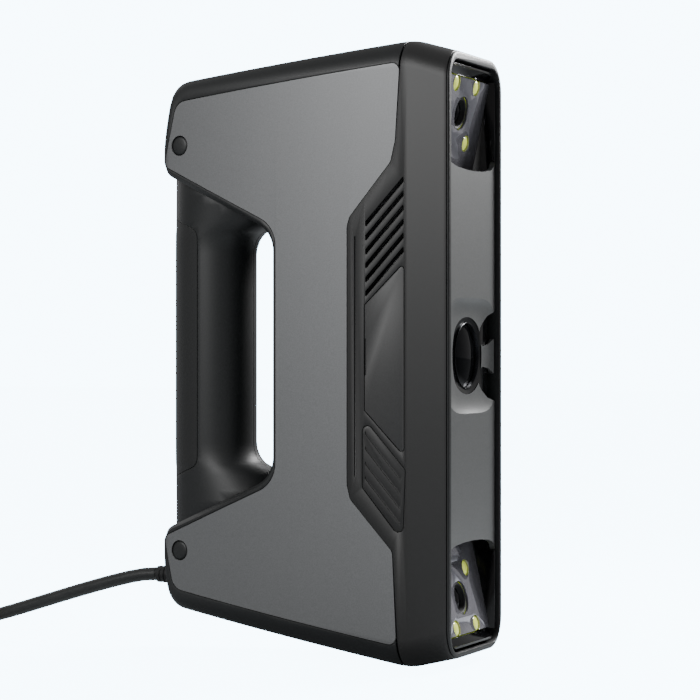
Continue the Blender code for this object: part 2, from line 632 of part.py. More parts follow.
def grip_ring(up, inset, steps=24):
    """An oval section, deeper forwards where the grip flares into the body."""
    flare = max(up - GRIP_STRAIGHT[1], GRIP_STRAIGHT[0] - up, 0)
    turned_by = min(flare, GRIP_TURN)
    front = GRIP_FRONT - (GRIP_BEND - math.sqrt(GRIP_BEND**2 - turned_by**2)) - 0.9 * (flare - turned_by)
    middle, reach = (GRIP_BACK + front) / 2, (GRIP_BACK - front) / 2
    half = GRIP_HALF + 0.10 * max(flare - 0.004, 0)
    ring = []
    to_flat = 1 / math.cos(math.pi / steps)  # the rearmost facet, not a corner, lies at the grip's back
    for i in range(steps):
        angle = 2 * math.pi * (i + 0.5) / steps
        back = middle + (reach - inset) * to_flat * math.cos(angle)
        ring.append(at_side(back, up, (half - inset) * math.sin(angle)))
    return ring


def grip_form(name, inset, finish=None, low=0.030, high=0.212):
    return loft(name, [grip_ring(up, inset) for up in (low, *GRIP_UPS, high)], finish)


grip_hollow = grip_form("grip_hollow", 0.0032, low=0.020, high=0.222)
grip_under_strap = grip_form("grip_under_strap", STRAP_DEEP)
grip_opening = side_prism("grip_limits", grown(CUTOUT, -GAP), -0.050, 0.050)
strap_recess = side_prism("strap_recess", grown(STRAP, GAP), -0.050, 0.050)
cut(strap_recess, grip_form("grip_strap_floor", STRAP_DEEP + GAP))
for side, sign in SIDES:
    grip = grip_form(side + "_grip_shell", 0, BLACK)
    keep(grip, grip_opening)
    keep(grip, half_space(side + "_grip_half", sign))
    cut(grip, grip_hollow, strap_recess)
strap = side_prism("back_strap", STRAP, -0.050, 0.050, RUBBER)
keep(strap, grip_form("strap_form", 0))
cut(strap, grip_under_strap)


# Buttons on the back of the upper lobe

button_bezel = box("button_bezel", (-0.0053, -0.0140, -0.0010), (0.0053, 0.0140, 0.0002), CHARCOAL,
                   button_place)
for name, across, radius in BUTTONS:
    spot = button_place @ Matrix.Translation((0, across, 0))
    cut(button_bezel, cylinder(name + "_hole", radius + GAP, -0.010, 0.010, spot, segments=20))
    turned(
        name, [(0, 0.0014), (radius - 0.0005, 0.0014), (radius, 0.0009), (radius, -0.0030), (0, -0.0030)],
        spot, RUBBER, steps=20,
    )
box("button_board", (-0.0044, -0.0128, -0.0056), (0.0044, 0.0128, -0.0044), BOARD, button_place)


# Cable: gland, the run to the floor, the stored coil with its tie, and the plug

turned(
    "cable_gland",
    [(0, GLAND_END), (0.0034, GLAND_END), (0.0038, 0.0030), (0.0046, 0.0028), (0.0046, 0.0010),
     (0.0037, 0.0008), (0.0037, -0.0080), (0, -0.0080)],
    gland_place, RUBBER, steps=24,
)

for made in [*scanner.objects, *cutters.objects]:
    made.matrix_world = Matrix.Translation((0, 0, LIFT)) @ made.matrix_world


def smooth_route(points, every):
    """Points read off a Catmull-Rom curve through the route, a set distance apart."""
    points = [Vector(point) for point in points]
    ends = [2 * points[0] - points[1], *points, 2 * points[-1] - points[-2]]
    dense = []
    for a, b, c, d in zip(ends, ends[1:], ends[2:], ends[3:]):
        for i in range(12):
            t = i / 12
            bend, twist = 2 * a - 5 * b + 4 * c - d, 3 * b - a - 3 * c + d
            dense.append(0.5 * (2 * b + (c - a) * t + bend * t**2 + twist * t**3))
    dense.append(points[-1])
    kept = [dense[0]]
    for point in dense[1:-1]:
        if (point - kept[-1]).length >= every:
            kept.append(point)
    return kept + [dense[-1]]


def cord_tube(name, points):
    curve = bpy.data.curves.new(name, "CURVE")
    curve.dimensions = "3D"
    curve.bevel_depth = CORD_RADIUS
    curve.bevel_resolution = 2
    curve.use_fill_caps = True
    spline = curve.splines.new("POLY")
    spline.points.add(len(points) - 1)
    for point, at in zip(spline.points, points):
        point.co = (*at, 1)
    curve.materials.append(CABLE)
    scanner.objects.link(bpy.data.objects.new(name, curve))


def on_coil(share, radius, up):
    """A point on the oval: back along its left run, round the far end, forwards, and round the near end."""
    run, arc = COIL_NEAR - COIL_FAR, math.pi * radius
    at = share * 2 * (run + arc)
    if at < run:
        return Vector((COIL_NEAR - at, radius, up))
    if at < run + arc:
        angle = (at - run) / radius
        return Vector((COIL_FAR - radius * math.sin(angle), radius * math.cos(angle), up))
    if at < 2 * run + arc:
        return Vector((COIL_FAR + at - run - arc, -radius, up))
    angle = (at - 2 * run - arc) / radius
    return Vector((COIL_NEAR + radius * math.sin(angle), -radius * math.cos(angle), up))


def oval(radius, steps=14):
    """The oval's outline, seen from above."""
    angles = [math.pi * i / steps for i in range(steps + 1)]
    far = [Vector((COIL_FAR - radius * math.sin(a), radius * math.cos(a))) for a in angles]
    return far + [Vector((COIL_NEAR + radius * math.sin(a), -radius * math.cos(a))) for a in angles]


cord_tube("cable_run", smooth_route(CORD_RUN, CORD_STEP))
coil = extrusion("cable_coil", oval(COIL_OUTER), 0, COIL_HEIGHT, Matrix(), CABLE)
cut(coil, extrusion("coil_middle", oval(COIL_INNER), -0.010, 0.050, Matrix()))
tie_in, tie_out = COIL_INNER - GAP, COIL_OUTER + GAP
tie = box("coil_tie", (TIE_X - TIE_HALF, -tie_out - TIE_WALL, 0),
          (TIE_X + TIE_HALF, -tie_in + TIE_WALL, COIL_HEIGHT + GAP + TIE_WALL), RUBBER)
cut(tie, box("tie_room", (TIE_X - 0.0100, -tie_out, -0.0100), (TIE_X + 0.0100, -tie_in, COIL_HEIGHT + GAP)))

first, last = TAIL_SHARES
tail = []
for i in range(TAIL_POINTS):
    share = i / (TAIL_POINTS - 1)
    rise = max(2 * share - 1, 0)  # the cord rises to the plug over its second half
    tail.append(on_coil(first + (last - first) * share, TAIL_RADIUS, TAIL_UP + (PLUG_UP - TAIL_UP) * rise))
plug_start = tail[-1] + Vector((0.0080, 0, 0))
tail += [tail[-1] + Vector((0.0040, 0, 0)), plug_start]
cord_tube("cable_tail", smooth_route(tail, CORD_STEP))
plug_place = Matrix.Translation(plug_start)
relief = cylinder("plug_relief", 0.0031, GAP, 0.0120, plug_place @ forward, top=0.0040, segments=16)
plug = box("usb_plug", (0.0110, -0.0060, -0.0039), (0.0330, 0.0060, 0.0039), CABLE, plug_place)
join(plug, relief)
cut(plug, box("plug_mouth", (0.0290, -0.0056, -0.0026), (0.0340, 0.0056, 0.0026), place=plug_place))
tip = box("usb_plug_shell", (0.0293, -0.0053, -0.0023), (0.0450, 0.0053, 0.0023), STEEL, plug_place)
cut(tip, box("tip_mouth", (0.0330, -0.0049, -0.0001), (0.0460, 0.0049, 0.0019), place=plug_place))
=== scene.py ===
import json
import math

import bmesh
import bpy
from mathutils import Matrix, Vector

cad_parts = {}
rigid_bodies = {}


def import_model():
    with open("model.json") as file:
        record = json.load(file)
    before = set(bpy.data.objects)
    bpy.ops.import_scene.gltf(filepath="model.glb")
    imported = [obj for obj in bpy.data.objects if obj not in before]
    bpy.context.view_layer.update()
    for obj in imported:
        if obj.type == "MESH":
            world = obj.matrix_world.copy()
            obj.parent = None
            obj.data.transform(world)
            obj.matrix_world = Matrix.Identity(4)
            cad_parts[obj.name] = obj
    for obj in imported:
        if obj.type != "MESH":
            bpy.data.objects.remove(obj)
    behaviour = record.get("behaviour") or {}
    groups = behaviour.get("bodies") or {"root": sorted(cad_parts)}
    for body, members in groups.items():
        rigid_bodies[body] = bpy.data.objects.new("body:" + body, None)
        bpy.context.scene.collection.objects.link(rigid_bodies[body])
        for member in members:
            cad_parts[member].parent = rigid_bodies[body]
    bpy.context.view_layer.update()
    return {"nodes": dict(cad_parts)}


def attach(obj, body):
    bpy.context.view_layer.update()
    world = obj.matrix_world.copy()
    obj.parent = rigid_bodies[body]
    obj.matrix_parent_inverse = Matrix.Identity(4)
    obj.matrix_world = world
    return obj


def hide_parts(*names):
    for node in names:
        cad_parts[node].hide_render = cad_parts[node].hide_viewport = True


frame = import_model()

mm = 0.001
gap = 0.3  # between neighbouring pieces, in mm like every other size here
frontX = 65.0  # the front plane; "back" is the distance behind it
midUp = 118.0  # the optics are symmetric about this height
lift = 1.56  # the body is drawn from its own datum and raised by this, as in the CAD; the cable is not


# Camera, floor and light

stage = {
    "cameraPlace": (0.3964, -0.8731, 0.12176),
    "cameraLooks": (-0.4035, 0.9150, 0.0),
    "lens": 123.43,
    "floor": "#a6aaad",
    "backdrop": ("#cfeafb", 13.0),  # the bright paper behind the object, colour and strength
    "fill": ("#f7f7f7", 0.34),  # the room's own light on the object
}


def toLinear(colour):
    channels = [int(colour[i:i + 2], 16) / 255 for i in (1, 3, 5)]
    return (*[c / 12.92 if c <= 0.04045 else ((c + 0.055) / 1.055) ** 2.4 for c in channels], 1.0)


def addNode(finish, kind, settings=None, links=None):
    # sockets start with a capital or are numbered; anything else is one of the node's own settings
    node = finish.node_tree.nodes.new(kind)
    for key, value in (settings or {}).items():
        if isinstance(key, int) or key[0].isupper():
            node.inputs[key].default_value = toLinear(value) if isinstance(value, str) else value
        else:
            setattr(node, key, value)
    for key, source in (links or {}).items():
        finish.node_tree.links.new(source, node.inputs[key])
    return node


def addSoftbox(name, place, looksAt, size, power, colour="#ffffff"):
    bpy.ops.object.light_add(type="AREA", location=place)
    lamp = bpy.context.object
    lamp.name = name
    lamp.rotation_euler = (Vector(looksAt) - Vector(place)).to_track_quat("-Z", "Y").to_euler()
    lamp.data.shape = "RECTANGLE"
    lamp.data.size, lamp.data.size_y = size
    lamp.data.energy = power
    lamp.data.color = toLinear(colour)[:3]
    return lamp


bpy.ops.object.select_all(action="DESELECT")
bpy.ops.object.camera_add(location=stage["cameraPlace"])
camera = bpy.context.object
camera.rotation_euler = Vector(stage["cameraLooks"]).to_track_quat("-Z", "Y").to_euler()
camera.data.lens = stage["lens"]
camera.data.sensor_width = 36
bpy.context.scene.camera = camera

addSoftbox("keyLight", (-0.25, -0.80, 0.48), (0, 0, 0.20), (0.40, 0.34), 4.3)
addSoftbox("topLight", (0.15, 0.10, 1.30), (0, 0, 0.1), (1.0, 1.0), 0.6)
addSoftbox("frontLight", (0.24, 0.38, 0.46), (0.065, 0, 0.20), (0.20, 0.20), 8.0)
addSoftbox("rimLight", (-1.1, 0.5, 0.6), (-0.05, 0, 0.12), (0.5, 1.0), 1.5)

# the backdrop and the paper floor are lit apart from the object: bright where seen, soft where they light it
world = bpy.data.worlds.new("studio")
bpy.context.scene.world = world
world.use_nodes = True
fill = world.node_tree.nodes["Background"]
fill.inputs["Color"].default_value = toLinear(stage["fill"][0])
fill.inputs["Strength"].default_value = stage["fill"][1]
seen = addNode(world, "ShaderNodeLightPath").outputs["Is Camera Ray"]
backdrop = addNode(world, "ShaderNodeBackground", dict(zip(("Color", "Strength"), stage["backdrop"])))
both = addNode(world, "ShaderNodeMixShader", None, {0: seen, 1: fill.outputs[0], 2: backdrop.outputs[0]})
world.node_tree.links.new(both.outputs[0], world.node_tree.nodes["World Output"].inputs["Surface"])

bpy.ops.mesh.primitive_plane_add(size=12, location=(0, 0, -0.00025))
floor = bpy.context.object
floor.name = "studioFloor"
bpy.ops.object.transform_apply(location=True, rotation=True, scale=True)
floorPaint = bpy.data.materials.new("mattPaper")
floorPaint.use_nodes = True
paper = floorPaint.node_tree.nodes["Principled BSDF"]
paper.inputs["Base Color"].default_value = toLinear(stage["floor"])
paper.inputs["Roughness"].default_value = 0.9
paper.inputs["Emission Color"].default_value = toLinear(stage["backdrop"][0])
seen = addNode(floorPaint, "ShaderNodeLightPath").outputs["Is Camera Ray"]
glow = addNode(floorPaint, "ShaderNodeMath", {"operation": "MULTIPLY", 1: stage["backdrop"][1] - 0.6}, {0: seen})
floorPaint.node_tree.links.new(glow.outputs[0], paper.inputs["Emission Strength"])
floor.data.materials.append(floorPaint)
print("stage ready")


# Modelling by hand: a few steps used over and over


def deselectAll():
    if bpy.context.mode != "OBJECT":
        bpy.ops.object.mode_set(mode="OBJECT")
    bpy.ops.object.select_all(action="DESELECT")


def pickUp(piece):
    deselectAll()
    piece.select_set(True)
    bpy.context.view_layer.objects.active = piece


def edit(piece, selectAll=True):
    pickUp(piece)
    bpy.ops.object.mode_set(mode="EDIT")
    bpy.ops.mesh.select_all(action="SELECT" if selectAll else "DESELECT")


def selectWhere(piece, kind, test):
    bpy.ops.mesh.select_mode(type={"verts": "VERT", "edges": "EDGE", "faces": "FACE"}[kind])
    bpy.ops.mesh.select_all(action="DESELECT")
    shape = bmesh.from_edit_mesh(piece.data)
    for element in getattr(shape, kind):
        if test(element):
            element.select_set(True)
    shape.select_flush_mode()
    bmesh.update_edit_mesh(piece.data)


def done(piece, angle=30):
    deselectAll()
    pickUp(piece)
    bpy.ops.object.transform_apply(location=True, rotation=True, scale=True)
    bpy.ops.object.shade_smooth_by_angle(angle=math.radians(angle))
    return piece


def blankMesh(name):
    deselectAll()
    bpy.ops.mesh.primitive_plane_add(size=1, location=(0, 0, 0))
    piece = bpy.context.object
    piece.name = piece.data.name = name
    bpy.ops.object.mode_set(mode="EDIT")
    bpy.ops.mesh.select_mode(type="VERT")
    bpy.ops.mesh.delete(type="VERT")
    return piece


def traceLoop(points):
    # one vertex extruded round the outline, then closed; the loop is left selected
    bpy.ops.mesh.select_all(action="DESELECT")
    bpy.ops.mesh.primitive_plane_add(size=mm, location=points[0])
    bpy.ops.mesh.merge(type="CENTER")
    for before, after in zip(points, [*points[1:], points[0]]):
        bpy.ops.mesh.extrude_region_move(TRANSFORM_OT_translate={"value": Vector(after) - Vector(before)})
    bpy.ops.mesh.select_linked()
    bpy.ops.mesh.remove_doubles(threshold=0.001 * mm)


def cornerArcs(outline, closed=True, steps=6):
    # each corner (across, up, radius) drawn as an arc
    ring = []
    for i, (across, up, radius) in enumerate(outline):
        here = Vector((across, up))
        if radius <= 0 or (not closed and i in (0, len(outline) - 1)):
            ring.append(here)
            continue
        before = (Vector(outline[i - 1][:2]) - here).normalized()
        after = (Vector(outline[(i + 1) % len(outline)][:2]) - here).normalized()
        half = before.angle(after) / 2
        centre = here + (before + after).normalized() * radius / math.sin(half)
        start = here + before * radius / math.tan(half) - centre
        turn = -1 if before.cross(after) > 0 else 1
        for step in range(steps + 1):
            angle = turn * (math.pi - 2 * half) * step / steps
            ring.append(centre + Matrix.Rotation(angle, 3, "Z").to_2x2() @ start)
    return ring


def growOutline(outline, by):
    count = len(outline)
    area = sum(outline[i - 1][0] * outline[i][1] - outline[i][0] * outline[i - 1][1] for i in range(count))
    outward = 1 if area > 0 else -1
    moved = []
    for i, (across, up, radius) in enumerate(outline):
        here = Vector((across, up))
        enter = (here - Vector(outline[i - 1][:2])).normalized()
        leave = (Vector(outline[(i + 1) % count][:2]) - here).normalized()
        side = Vector((enter.y, -enter.x)) * outward
        other = Vector((leave.y, -leave.x)) * outward
        corner = here + (side + other) * by / (1 + side.dot(other))
        rounder = by if enter.cross(leave) * outward > 0 else -by
        moved.append((corner.x, corner.y, max(radius + rounder, 0) if radius else 0))
    return moved


def atSide(back, up, across=0.0):
    return Vector(((frontX - back) * mm, across * mm, up * mm))


def pullOut(name, ring, along):
    # a traced outline filled and extruded along a direction
    piece = blankMesh(name)
    traceLoop(ring)
    bpy.ops.mesh.edge_face_add()
    bpy.ops.mesh.extrude_region_move(TRANSFORM_OT_translate={"value": along})
    bpy.ops.mesh.select_all(action="SELECT")
    bpy.ops.mesh.normals_make_consistent(inside=False)
    deselectAll()
    return piece


def sidePrism(name, outline, near, far, steps=6):
    ring = [atSide(at.x, at.y, near) for at in cornerArcs(outline, steps=steps)]
    return pullOut(name, ring, (0, (far - near) * mm, 0))


def frontPrism(name, outline, near, far, steps=6):
    # an outline of (across, up, radius), from near to far behind the front plane
    ring = [atSide(near, at.y, at.x) for at in cornerArcs(outline, steps=steps)]
    return pullOut(name, ring, ((near - far) * mm, 0, 0))


def rectangle(half, bottom, top, radius=0):
    return [(-half, bottom, radius), (half, bottom, radius), (half, top, radius), (-half, top, radius)]


def bridged(name, rings, capped=True):
    # loops of equally many points joined into one skin, with both ends filled
    piece = blankMesh(name)
    for ring in rings:
        traceLoop(ring)
    return closeBridge(piece, capped)


def closeBridge(piece, capped=True):
    bpy.ops.mesh.select_all(action="SELECT")
    bpy.ops.mesh.bridge_edge_loops()
    if capped:
        bpy.ops.mesh.select_mode(type="EDGE")
        bpy.ops.mesh.select_all(action="DESELECT")
        bpy.ops.mesh.select_non_manifold()
        bpy.ops.mesh.fill_holes(sides=0)
    bpy.ops.mesh.select_mode(type="VERT")
    bpy.ops.mesh.select_all(action="SELECT")
    bpy.ops.mesh.normals_make_consistent(inside=False)
    deselectAll()
    return piece


def turnedAbout(name, profile, place, steps=48):
    # a profile of (radius, along) spun about local Z, then set in place
    piece = blankMesh(name)
    bpy.ops.mesh.primitive_plane_add(size=mm, location=(profile[0][0] * mm, 0, profile[0][1] * mm))
    bpy.ops.mesh.merge(type="CENTER")
    for before, after in zip(profile, profile[1:]):
        step = ((after[0] - before[0]) * mm, 0, (after[1] - before[1]) * mm)
        bpy.ops.mesh.extrude_region_move(TRANSFORM_OT_translate={"value": step})
    bpy.ops.mesh.select_all(action="SELECT")
    bpy.ops.mesh.spin(steps=steps, angle=2 * math.pi, center=(0, 0, 0), axis=(0, 0, 1))
    bpy.ops.mesh.select_all(action="SELECT")
    bpy.ops.mesh.remove_doubles(threshold=0.002 * mm)
    bpy.ops.mesh.normals_make_consistent(inside=False)
    deselectAll()
    piece.matrix_world = place
    pickUp(piece)
    bpy.ops.object.transform_apply(location=True, rotation=True, scale=True)
    return piece


def block(name, low, high, place=Matrix()):
    low, high = Vector(low), Vector(high)
    deselectAll()
    bpy.ops.mesh.primitive_cube_add(size=1, location=(low + high) / 2 * mm)
    piece = bpy.context.object
    piece.name = piece.data.name = name
    piece.scale = (high - low) * mm
    bpy.ops.object.transform_apply(location=True, rotation=True, scale=True)
    piece.matrix_world = place
    bpy.ops.object.transform_apply(location=True, rotation=True, scale=True)
    return piece


def rod(name, radius, low, high, place, sides=40):
    deselectAll()
    bpy.ops.mesh.primitive_cylinder_add(vertices=sides, radius=radius * mm, depth=(high - low) * mm,
                                        location=(0, 0, (low + high) / 2 * mm))
    piece = bpy.context.object
    piece.name = piece.data.name = name
    bpy.ops.object.transform_apply(location=True, rotation=True, scale=True)
    piece.matrix_world = place
    bpy.ops.object.transform_apply(location=True, rotation=True, scale=True)
    return piece


def combine(piece, others, how="DIFFERENCE", keep=False):
    for other in others:
        step = piece.modifiers.new("combine", "BOOLEAN")
        step.operation = how
        step.solver = "EXACT"
        step.object = other
        pickUp(piece)
        bpy.ops.object.modifier_apply(modifier=step.name)
        if not keep:
            bpy.data.objects.remove(other)
    return piece


def copyOf(piece, name):
    pickUp(piece)
    bpy.ops.object.duplicate()
    made = bpy.context.object
    made.name = made.data.name = name
    return made


def soften(piece, width, segments=2, angle=40, tidy=0.05):
    edit(piece)
    bpy.ops.mesh.remove_doubles(threshold=tidy * mm)
    bpy.ops.mesh.dissolve_degenerate(threshold=0.01 * mm)
    deselectAll()
    step = piece.modifiers.new("soften", "BEVEL")
    step.width = width * mm
    step.segments = segments
    step.limit_method = "ANGLE"
    step.angle_limit = math.radians(angle)
    step.use_clamp_overlap = True
    step.harden_normals = False
    pickUp(piece)
    bpy.ops.object.modifier_apply(modifier=step.name)
    return piece


def mirrored(piece, name, axis="Y"):
    # the other side's own copy, turned right side out again
    made = copyOf(piece, name)
    edit(made)
    if axis == "Y":
        bpy.ops.transform.resize(value=(1, -1, 1), center_override=(0, 0, 0))
    else:
        bpy.ops.transform.resize(value=(1, 1, -1), center_override=(0, 0, midUp * mm))
    bpy.ops.mesh.normals_make_consistent(inside=False)
    deselectAll()
    return made


def finishPiece(piece, surface, nodes=(), body="housing", angle=30, raised=True, even=False):
    piece.location.z += lift * mm if raised else 0
    done(piece, angle)
    if even:
        # wide faces keep their own normal, so a small rounded edge doesn't shade right across them
        step = piece.modifiers.new("even", "WEIGHTED_NORMAL")
        step.keep_sharp = True
        step.weight = 100
        pickUp(piece)
        bpy.ops.object.modifier_apply(modifier=step.name)
    piece.data.materials.clear()
    piece.data.materials.append(surface)
    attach(piece, body)
    if nodes:
        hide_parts(*([nodes] if isinstance(nodes, str) else nodes))
    return piece


# Materials. Colours are sRGB, scales are real sizes


def newFinish(name, sockets):
    finish = bpy.data.materials.new(name)
    finish.use_nodes = True
    shader = finish.node_tree.nodes["Principled BSDF"]
    for socket, value in sockets.items():
        shader.inputs[socket].default_value = toLinear(value) if isinstance(value, str) else value
    return finish, shader


def perMm(size):
    # noise scale for features this many mm across
    return 1 / (size * mm)


def mottle(finish, shader, dark, light, size, detail=2.0, roughness=None, bump=None):
    # colour variation, roughness variation and a moulded or sprayed grain, all on Object coordinates
    place = addNode(finish, "ShaderNodeTexCoord").outputs["Object"]
    broad = addNode(finish, "ShaderNodeTexNoise", {"Scale": perMm(size), "Detail": detail}, {"Vector": place})
    ramp = addNode(finish, "ShaderNodeValToRGB", links={"Fac": broad.outputs["Fac"]})
    ramp.color_ramp.elements[0].position, ramp.color_ramp.elements[1].position = 0.32, 0.68
    ramp.color_ramp.elements[0].color, ramp.color_ramp.elements[1].color = toLinear(dark), toLinear(light)
    finish.node_tree.links.new(ramp.outputs["Color"], shader.inputs["Base Color"])
    if roughness:
        spread = addNode(finish, "ShaderNodeMapRange", {"To Min": roughness[0], "To Max": roughness[1]},
                         {"Value": broad.outputs["Fac"]})
        finish.node_tree.links.new(spread.outputs["Result"], shader.inputs["Roughness"])
    if bump:
        grainSize, strength, height = bump
        grain = addNode(finish, "ShaderNodeTexNoise", {"Scale": perMm(grainSize), "Detail": 1.5}, {"Vector": place})
        relief = addNode(finish, "ShaderNodeBump", {"Strength": strength, "Distance": height * mm},
                         {"Height": grain.outputs["Fac"]})
        finish.node_tree.links.new(relief.outputs["Normal"], shader.inputs["Normal"])
    return ramp


# sprayed metallic paint on ABS: fine flakes give it a soft, slightly sparkling grey that darkens away from the light
greyPaint, shader = newFinish("sprayedMetallicGreyPaint", {"Metallic": 0.7, "Roughness": 0.48, "Coat Weight": 0.15,
                                                           "Coat Roughness": 0.3})
mottle(greyPaint, shader, "#747576", "#7c7d7e", 0.45, 1.0, (0.46, 0.54), (0.5, 0.10, 0.02))

# the same paint on the recessed face plate, a little smoother and darker
facePaint, shader = newFinish("sprayedFacePaint", {"Metallic": 0.7, "Roughness": 0.42, "Coat Weight": 0.1,
                                                   "Coat Roughness": 0.25})
mottle(facePaint, shader, "#656666", "#6f7070", 0.45, 1.0, (0.40, 0.48), (0.5, 0.10, 0.02))

# black ABS with a fine spark-eroded grain: satin, with a soft broad highlight
blackAbs, shader = newFinish("grainedBlackAbs", {"IOR": 1.53})
mottle(blackAbs, shader, "#151718", "#1a1c1d", 0.6, 3.0, (0.42, 0.52), (0.32, 0.35, 0.02))

# charcoal ABS, finer grain than the shells: flat and even, a little lighter than they are
charcoalAbs, shader = newFinish("grainedCharcoalAbs", {"IOR": 1.53})
mottle(charcoalAbs, shader, "#1b1b1b", "#1f1f1f", 0.5, 3.0, (0.40, 0.50), (0.30, 0.30, 0.02))

# the same plastic in a lighter grey, for the flush blank panel
badgeAbs, shader = newFinish("greyAbs", {"IOR": 1.53})
mottle(badgeAbs, shader, "#333333", "#383838", 0.5, 2.0, (0.42, 0.50), (0.35, 0.20, 0.02))

# thermoplastic elastomer overmould: dull and slightly grippy, nearly no highlight
softRubber, shader = newFinish("mattElastomer", {"IOR": 1.50, "Sheen Weight": 0.15, "Sheen Roughness": 0.5})
mottle(softRubber, shader, "#0a0b0c", "#0e1011", 0.8, 3.0, (0.62, 0.74), (0.40, 0.35, 0.03))

# high-gloss black ABS round the optics: mirror dark, as a piano finish
glossBlack, shader = newFinish("pianoBlackAbs", {"IOR": 1.50, "Specular IOR Level": 0.35})
mottle(glossBlack, shader, "#050506", "#08080a", 3.0, 1.0, (0.08, 0.14))

# vacuum-coated camera plate: a tinted mirror that shows the window's black side walls
plateCoating, shader = newFinish("vacuumCoatedPlate", {"Metallic": 0.7})
mottle(plateCoating, shader, "#97969e", "#9f9ea6", 2.0, 1.0, (0.06, 0.10))

# coated optical glass: black with a faint violet-green bloom
lensGlass, shader = newFinish("coatedLensGlass", {"IOR": 1.52, "Specular IOR Level": 0.05,
                                                  "Specular Tint": "#b8c8e8"})
mottle(lensGlass, shader, "#040405", "#070708", 2.5, 1.0, (0.03, 0.05))

# phosphor under a clear resin dome: the pale yellow-green of an unlit white lamp, plus a faint emission that is a
# painted glow, as the lamp is off
phosphorWithPaintedGlow, shader = newFinish("phosphorResinPaintedGlow", {"IOR": 1.50, "Coat Weight": 0.8, "Coat Roughness": 0.08,
                                               "Emission Color": "#cfe83a", "Emission Strength": 0.5})
mottle(phosphorWithPaintedGlow, shader, "#d9e062", "#eef08a", 0.9, 1.0, (0.25, 0.35))

# bright turned steel: fine rings from the tool
brightSteel, shader = newFinish("turnedSteel", {"Metallic": 1.0})
mottle(brightSteel, shader, "#b4b6b8", "#c6c8ca", 0.3, 2.0, (0.18, 0.28), (0.25, 0.10, 0.01))

# blackened steel of the projector's lens ring: dark, with a thin bright edge where it catches the light
blackSteel, shader = newFinish("blackenedSteel", {"Metallic": 1.0})
mottle(blackSteel, shader, "#26272a", "#303134", 0.3, 2.0, (0.22, 0.32), (0.25, 0.10, 0.01))

# milled aluminium: pale, with a soft directional haze
milledAluminium, shader = newFinish("milledAluminium", {"Metallic": 1.0})
mottle(milledAluminium, shader, "#a9abad", "#b9bbbd", 0.7, 3.0, (0.32, 0.45), (0.4, 0.20, 0.01))

# green solder mask over copper
solderMask, shader = newFinish("solderMask", {"IOR": 1.5, "Coat Weight": 0.4, "Coat Roughness": 0.15})
mottle(solderMask, shader, "#114a2c", "#1a6038", 1.2, 3.0, (0.30, 0.42))

# black PVC jacket: satin, with faint extrusion marks
pvcJacket, shader = newFinish("blackPvcJacket", {"IOR": 1.52})
mottle(pvcJacket, shader, "#1a1c1c", "#222424", 1.5, 3.0, (0.38, 0.50), (0.6, 0.25, 0.03))
print("materials ready")


# Cable: one lead from the gland to the floor, its stored coil, and its plug

cable = {
    "diameter": 5.6,
    "length": 3.0,
    "run": [(-75.4, 0, 29.6), (-79, 0, 29.5), (-88, 0, 27.9), (-99, 0, 25.1), (-111, 0, 21.7), (-123, 0, 18.1),
            (-135, 0, 14.4), (-147, 0, 10.8), (-159, 1.4, 7.6), (-170, 6.1, 4.8), (-177, 10.0, 3.7),
            (-184, 14.3, 3.2), (-193, 19.6, 2.9), (-203, 24.2, 2.8)],
    "ends": (-214.0, -326.0),  # centres of the oval's round ends
    "rings": (26.2, 20.6),  # two rings to a layer, four layers high
    "pointsPerLap": 64,
    "tailRadius": 23.4,
    "tailUp": 25.5,
    "plugUp": 26.7,
    "tailEnds": 0.53,  # of the last lap
}


def onOval(share, radius, up):
    near, far = cable["ends"]
    run, arc = near - far, math.pi * radius
    at = share * 2 * (run + arc)
    if at < run:
        return Vector((near - at, radius, up)) * mm
    if at < run + arc:
        angle = (at - run) / radius
        return Vector((far - radius * math.sin(angle), radius * math.cos(angle), up)) * mm
    if at < 2 * run + arc:
        return Vector((far + at - run - arc, -radius, up)) * mm
    angle = (at - 2 * run - arc) / radius
    return Vector((near + radius * math.sin(angle), -radius * math.cos(angle), up)) * mm


def easeInOut(share):
    share = min(max(share, 0), 1)
    return share * share * (3 - 2 * share)


def smoothRoute(points, every):
    ends = [2 * points[0] - points[1], *points, 2 * points[-1] - points[-2]]
    dense = []
    for a, b, c, d in zip(ends, ends[1:], ends[2:], ends[3:]):
        for i in range(12):
            t = i / 12
            square, cube = t * t, t * t * t
            dense.append(0.5 * (2 * b + (c - a) * t + (2 * a - 5 * b + 4 * c - d) * square
                                + (3 * b - a - 3 * c + d) * cube))
    kept = [dense[0]]
    for point in dense[1:]:
        if (point - kept[-1]).length >= every:
            kept.append(point)
    return kept


def lapPoints():
    # each lap moves on to its next place a little earlier than the lap below, so no two meet
    outer, inner = cable["rings"]
    levels = [cable["diameter"] * (layer + 0.5) for layer in range(4)]
    places = []
    for layer, up in enumerate(levels):
        places += [(outer, up), (inner, up)] if layer % 2 == 0 else [(inner, up), (outer, up)]
    places.append((cable["tailRadius"], cable["tailUp"]))
    points = []
    for lap in range(8):
        (radius, up), (nextRadius, nextUp) = places[lap], places[lap + 1]
        for i in range(cable["pointsPerLap"]):
            share = i / cable["pointsPerLap"]
            if lap == 7 and share > cable["tailEnds"]:
                break
            move = easeInOut((share - 0.87 + 0.12 * lap) / 0.12)
            upHere = up + (nextUp - up) * move
            if lap == 7:
                upHere += (cable["plugUp"] - cable["tailUp"]) * easeInOut((share - 0.3) / 0.2)
            points.append(onOval(share, radius + (nextRadius - radius) * move, upHere))
    return points


